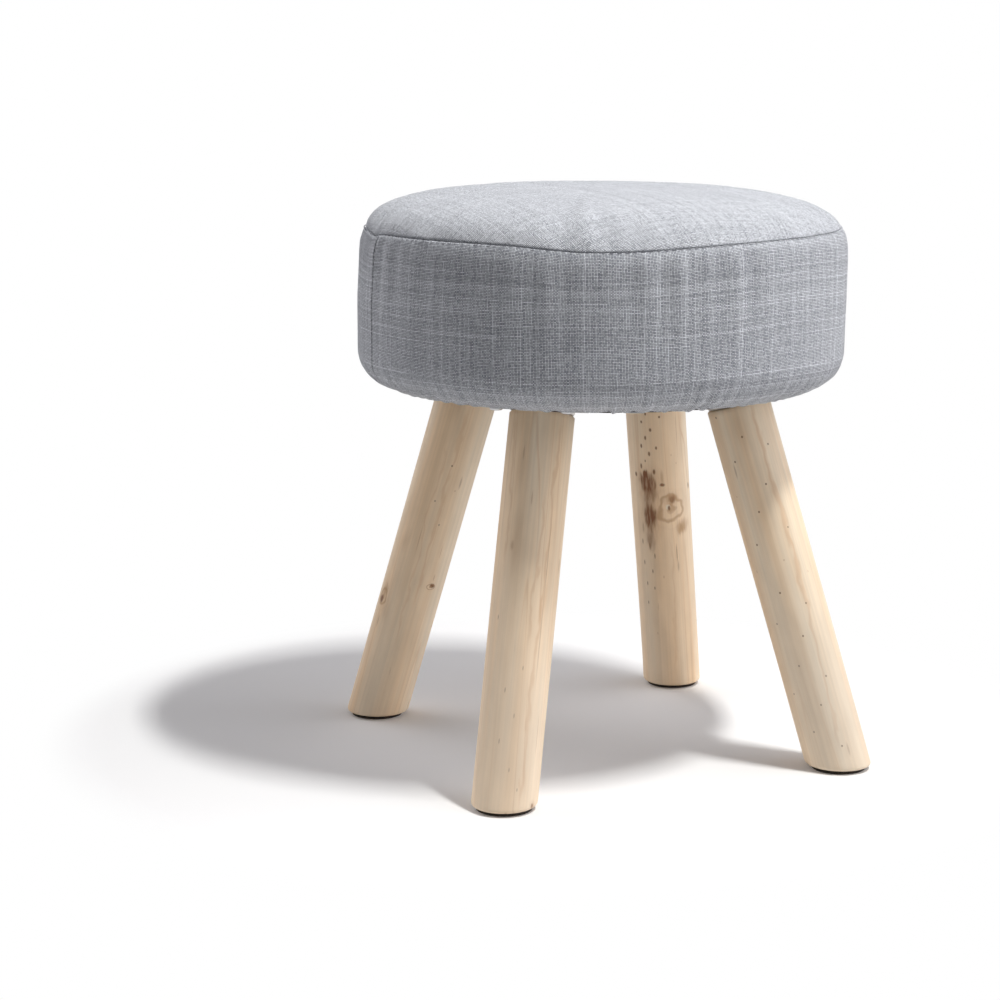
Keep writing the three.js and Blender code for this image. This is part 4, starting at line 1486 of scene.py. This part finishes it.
def screw_rings():
    """A screw standing on its head at height zero, head down, its tip up."""
    turn = even_turns(SCREW_SIDES)
    rows = []
    for radius in np.linspace(0.1 * MM, HEAD_RADIUS - HEAD_ROUND, HEAD_RINGS):
        x, y = np.abs(polar(radius, turn)[:, :2]).T
        arm, reach = np.minimum(x, y), np.maximum(x, y)
        taper = 1 - RECESS_TAPER * reach / RECESS_REACH
        width = RECESS_WIDTH * (taper + 0.15)
        within = 1 - ramp(arm, width * 0.75, width * 1.25)
        ended = ramp(reach, RECESS_REACH * 0.85, RECESS_REACH)
        rows.append(polar(radius, turn, RECESS_DEPTH * within * (1 - ended) * taper))
    rows.extend(turned(arc(HEAD_ROUND, HEAD_RADIUS - HEAD_ROUND, HEAD_ROUND, -90, 0, 6)[1:], turn))
    rows.extend(turned([[HEAD_RADIUS, HEAD_HEIGHT], [SCREW_RADIUS, HEAD_HEIGHT]], turn))
    end = HEAD_HEIGHT + SCREW_LENGTH
    for height in np.arange(HEAD_HEIGHT + 1 * MM, end, THREAD_STEP / 6):
        phase = (height / THREAD_STEP + turn / (2 * math.pi)) % 1
        crest = np.maximum(0, 1 - np.abs(phase - 0.5) * 5)
        radius = (SCREW_RADIUS - THREAD_DEPTH * (1 - crest)) * min(1, (end - height) / SCREW_TIP)
        rows.append(polar(radius, turn, height))
    rows.append(polar(0.1 * radius, turn, end))
    return np.array(rows)


def make_screws(corner):
    shape = screw_rings()
    for number in range(1, 5):
        node = f"plate_screw_{corner.name}_{number}"
        middle = box_middle(node)
        turn = 0.7 * number + WOODS[corner.name][0]
        spin = np.array(Matrix.Rotation(-turn, 3, "Z"))
        rings = shape @ spin + np.array([middle.x, middle.y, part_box(node)[0].z])
        piece = finish_mesh(f"pan_screw_{corner.name}_{number}", *ring_solid(rings), zinc, "zinc")
        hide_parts(node)


for corner in corners:
    make_leg(corner)
    make_pad(corner)
    make_plate(corner)
    make_screws(corner)
    show_in("plate_nut_" + corner.name, zinc)
    show_in("hanger_bolt_" + corner.name, zinc)


# Dust cover: a thin sheet stretched under the board and over the cover's turned edge, held by staples
SHEET = 0.6 * MM
RIM_RADIUS = 128.4 * MM
RIM_UNDER = UNDERSIDE - FIT_GAP - SHEET
BOARD_UNDER = UNDERSIDE + PLY + PLY_GAP
MIDDLE_UNDER = BOARD_UNDER - FIT_GAP - SHEET
STEP_OUT = 125.9 * MM
STEP_IN = STEP_OUT - 1.5 * MM
RELIEF_RADIUS = 10.5 * MM
RIM_POINTS = 208
RELIEF_POINTS = 40
HOLE_POINTS = 14
SHEET_RINGS = np.arange(6, 122, 4.5) * MM
OUTER_RING = 127.2 * MM
SHEET_STEP = 4.2 * MM
SHEET_CLEAR = 1.2 * MM
SHEET_FOLDS = 0.35 * MM
FOLDS_FROM = 105 * MM
STAPLE_COUNT = 26
STAPLE_SPAN = 10 * MM
STAPLE_WIRE = 0.55 * MM
STAPLE_RADIUS = 127.3 * MM
STAPLE_BEND = 0.9 * MM
STAPLE_LEG = 2.2 * MM
STAPLE_FLATNESS = 0.6
# How unevenly the staples were shot: turn round the seat, distance from the middle, skew
STAPLE_SHIFTS = (0.012, 0.5 * MM, 0.10)


def dust_cover_under(x, y):
    radius, angle = np.hypot(x, y), np.arctan2(y, x)
    share = ramp(radius, STEP_IN, STEP_OUT)
    pull = 0.5 + 0.5 * np.cos(STAPLE_COUNT * angle)
    folds = SHEET_FOLDS * pull * ramp(radius, FOLDS_FROM, RIM_RADIUS)
    return MIDDLE_UNDER * (1 - share) + RIM_UNDER * share - folds


def circle(radius, count, middle=(0, 0)):
    return polar(radius, even_turns(count))[:, :2] + middle[:2]


def dust_cover_rims():
    """Points of the outline and of each opening."""
    rims = [circle(RIM_RADIUS, RIM_POINTS)]
    for corner in corners:
        middle = corner.at_level((BOARD_UNDER + corner.plate_under) / 2)
        rims.append(circle(RELIEF_RADIUS, RELIEF_POINTS, middle))
        for number in range(1, 5):
            middle = box_middle(f"plate_screw_{corner.name}_{number}")
            rims.append(circle(SCREW_RADIUS + FIT_GAP, HOLE_POINTS, middle))
    return rims


def past_rim(places, rim):
    """How far places lie outside a round rim."""
    middle = rim.mean(0)
    return np.hypot(*(places - middle).T) - np.hypot(*(rim[0] - middle))


def dust_cover_plan():
    """Points and triangles of the sheet laid flat."""
    rims = dust_cover_rims()
    edges, flat = [], []
    for rim in rims:
        start, count = len(flat), len(rim)
        flat.extend(rim.tolist())
        edges.extend((start + i, start + (i + 1) % count) for i in range(count))
    for radius in (*SHEET_RINGS, STEP_IN, (STEP_IN + STEP_OUT) / 2, STEP_OUT, OUTER_RING):
        places = circle(radius, max(8, round(2 * math.pi * radius / SHEET_STEP)))
        clear = [np.abs(past_rim(places, rim)) > SHEET_CLEAR for rim in rims]
        flat.extend(places[np.all(clear, 0)].tolist())
    points, _, faces, _, _, _ = delaunay_2d_cdt([Vector(p) for p in flat], edges, [], 0, 1e-6)
    plan = np.array([tuple(p) for p in points])
    faces = np.array([face for face in faces if len(face) == 3])
    middles = plan[faces].mean(1)
    keep = np.hypot(*middles.T) < RIM_RADIUS
    for rim in rims[1:]:
        keep &= past_rim(middles, rim) > -0.01 * MM
    used, numbered = np.unique(faces[keep], return_inverse=True)
    return plan[used], numbered.reshape(-1, 3)


def make_dust_cover():
    plan, faces = dust_cover_plan()
    under = np.column_stack([plan, dust_cover_under(*plan.T)])
    count = len(plan)
    sides = np.concatenate([faces[:, [0, 1]], faces[:, [1, 2]], faces[:, [2, 0]]])
    pairs = {tuple(side) for side in sides.tolist()}
    open_sides = sorted((side for side in pairs if side[::-1] not in pairs), key=lambda side: side[::-1])
    first, second = np.array(open_sides).T
    walls = np.stack([second, first, first + count, second + count], -1)
    triangles = np.concatenate([faces, faces[:, ::-1] + count])
    points = np.concatenate([under, under + UP * SHEET])
    if volume_sign(points, walls, triangles) < 0:
        walls, triangles = walls[:, ::-1], triangles[:, ::-1]
    piece = finish_mesh("bottom_cloth", points, walls, triangles, non_woven, "non_woven")
    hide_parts("dust_cover")


def staple_path():
    """The line of a staple's wire, up out of the board, along under the sheet and back up."""
    half = STAPLE_SPAN / 2
    corner_line = arc(STAPLE_BEND, half - STAPLE_BEND, STAPLE_BEND, -90, 0, 4)
    return np.concatenate(
        [[[-half, STAPLE_LEG]], corner_line[::-1] * np.array([-1, 1]), corner_line, [[half, STAPLE_LEG]]]
    )


def make_staples():
    """The wire crowns of the staples that hold the dust cover, each bent up into the board at its ends."""
    turn = even_turns(10)
    path = staple_path()
    ahead = np.gradient(path, axis=0)
    ahead /= np.linalg.norm(ahead, axis=1, keepdims=True)
    rng = np.random.default_rng(29)
    solids = []
    for number in range(STAPLE_COUNT):
        turned_by, moved_out, skew = (size * rng.normal() for size in STAPLE_SHIFTS)
        angle = 2 * math.pi * (number + 0.5) / STAPLE_COUNT + turned_by
        out, around = across_and_round(angle)
        side = around * math.cos(skew) + out * math.sin(skew)
        base = out * (STAPLE_RADIUS + moved_out)
        low = dust_cover_under(base[0], base[1]) - STAPLE_WIRE / 2
        middle = base + side * path[:, :1] + UP * (low + path[:, 1:])
        normal = UP * ahead[:, :1] - side * ahead[:, 1:]
        wide = STAPLE_WIRE * np.cross(side, UP) * np.cos(turn)[:, None]
        flat = STAPLE_FLATNESS * STAPLE_WIRE * normal[:, None] * np.sin(turn)[:, None]
        solids.append(ring_solid(middle[:, None] + wide + flat))
    finish_mesh("dust_cover_staples", *joined(solids), zinc, "zinc")


make_dust_cover()
make_staples()


# Stage: a pale floor that keeps the shadow and goes over to the white backdrop around it
FLOOR_HALF = 6.0
FLOOR_BOUNCE = (0.77, 0.12)
BOUNCE_FROM = 0.40
BOUNCE_BY = 1.10
FLOOR_WHITE = (0.925, 0.925, 0.925)
SHADOW_MIDDLE = (-0.02, 0.04, 0)
WHITE_FROM = 0.29
WHITE_BY = 0.34


def make_floor():
    material = bpy.data.materials.new("floor")
    material.use_nodes = True
    graph = Graph(material.node_tree)
    distance = graph.vector("LENGTH", (graph.object_place() - SHADOW_MIDDLE) * (1, 1, 0))
    away = graph.range(distance, WHITE_FROM, WHITE_BY, smooth=True)
    lit = graph.get("ShaderNodeBsdfDiffuse", {"Color": FLOOR_WHITE})
    white = graph.get("ShaderNodeEmission", {"Color": WHITE, "Strength": 1.0})
    seen = graph.get("ShaderNodeMixShader", (away, lit, white))
    paleness = graph.range(distance, BOUNCE_FROM, BOUNCE_BY, *FLOOR_BOUNCE, smooth=True)
    bounce = graph.get("ShaderNodeBsdfDiffuse", {"Color": paleness})
    shown = graph.get("ShaderNodeMixShader", (graph.seen_directly(), bounce, seen))
    graph.node("ShaderNodeOutputMaterial", (shown,))
    mesh = bpy.data.meshes.new("floor")
    signs = ((-1, -1), (1, -1), (1, 1), (-1, 1))
    mesh.from_pydata([(FLOOR_HALF * x, FLOOR_HALF * y, 0) for x, y in signs], [], [(0, 1, 2, 3)])
    mesh.materials.append(material)
    floor = added("floor", mesh)


# Light: one near lamp over the front right, and a pale room with brighter places
KEY_PLACE = (0.384, -0.559, 1.841)
KEY_AIM = (0, 0, 0.25)
KEY_SIZE = (0.10, 0.30)
KEY_POWER = 26.0
KEY_COLOUR = (1.0, 1.0, 0.985)
ROOM_BASE = 0.01
ROOM_COLOUR = (1.0, 0.985, 1.015)
LOBE_SHARPNESS = 6.0
# Each brighter place: its angle round the stool and above the floor in degrees, and its strength
ROOM_LOBES = ((-37, 15, 1.93), (-7, 15, 1.17), (128, 15, 1.90), (128, 50, 0.60), (-157, 10, 0.22))


def make_key():
    data = bpy.data.lights.new("key", "AREA")
    data.shape = "RECTANGLE"
    data.size, data.size_y = KEY_SIZE
    data.energy = KEY_POWER
    data.color = KEY_COLOUR
    lamp = added("key", data)
    stand = Vector(KEY_PLACE)
    back = (stand - Vector(KEY_AIM)).normalized()
    right = (eye_right - back * eye_right.dot(back)).normalized()
    turn = Matrix((right, back.cross(right), back)).transposed()
    lamp.matrix_world = Matrix.Translation(stand) @ turn.to_4x4()


def make_room():
    world = bpy.data.worlds.new("room")
    world.use_nodes = True
    bpy.context.scene.world = world
    graph = Graph(world.node_tree)
    toward = graph.get("ShaderNodeTexCoord", (), "Generated")
    level = ROOM_BASE
    for angle, rise, strength in ROOM_LOBES:
        middle = direction(math.radians(angle), math.radians(rise))
        facing = graph.math("MAXIMUM", graph.vector("DOT_PRODUCT", toward, tuple(middle)), 0.0)
        level = graph.math("POWER", facing, LOBE_SHARPNESS) * strength + level
    room = graph.get("ShaderNodeBackground", {"Color": ROOM_COLOUR, "Strength": level})
    white = graph.get("ShaderNodeBackground", {"Color": WHITE, "Strength": 1.0})
    shown = graph.get("ShaderNodeMixShader", (graph.seen_directly(), room, white))
    graph.node("ShaderNodeOutputWorld", (shown,))


make_floor()
make_key()
make_room()
bpy.context.scene.view_settings.view_transform = "Standard"
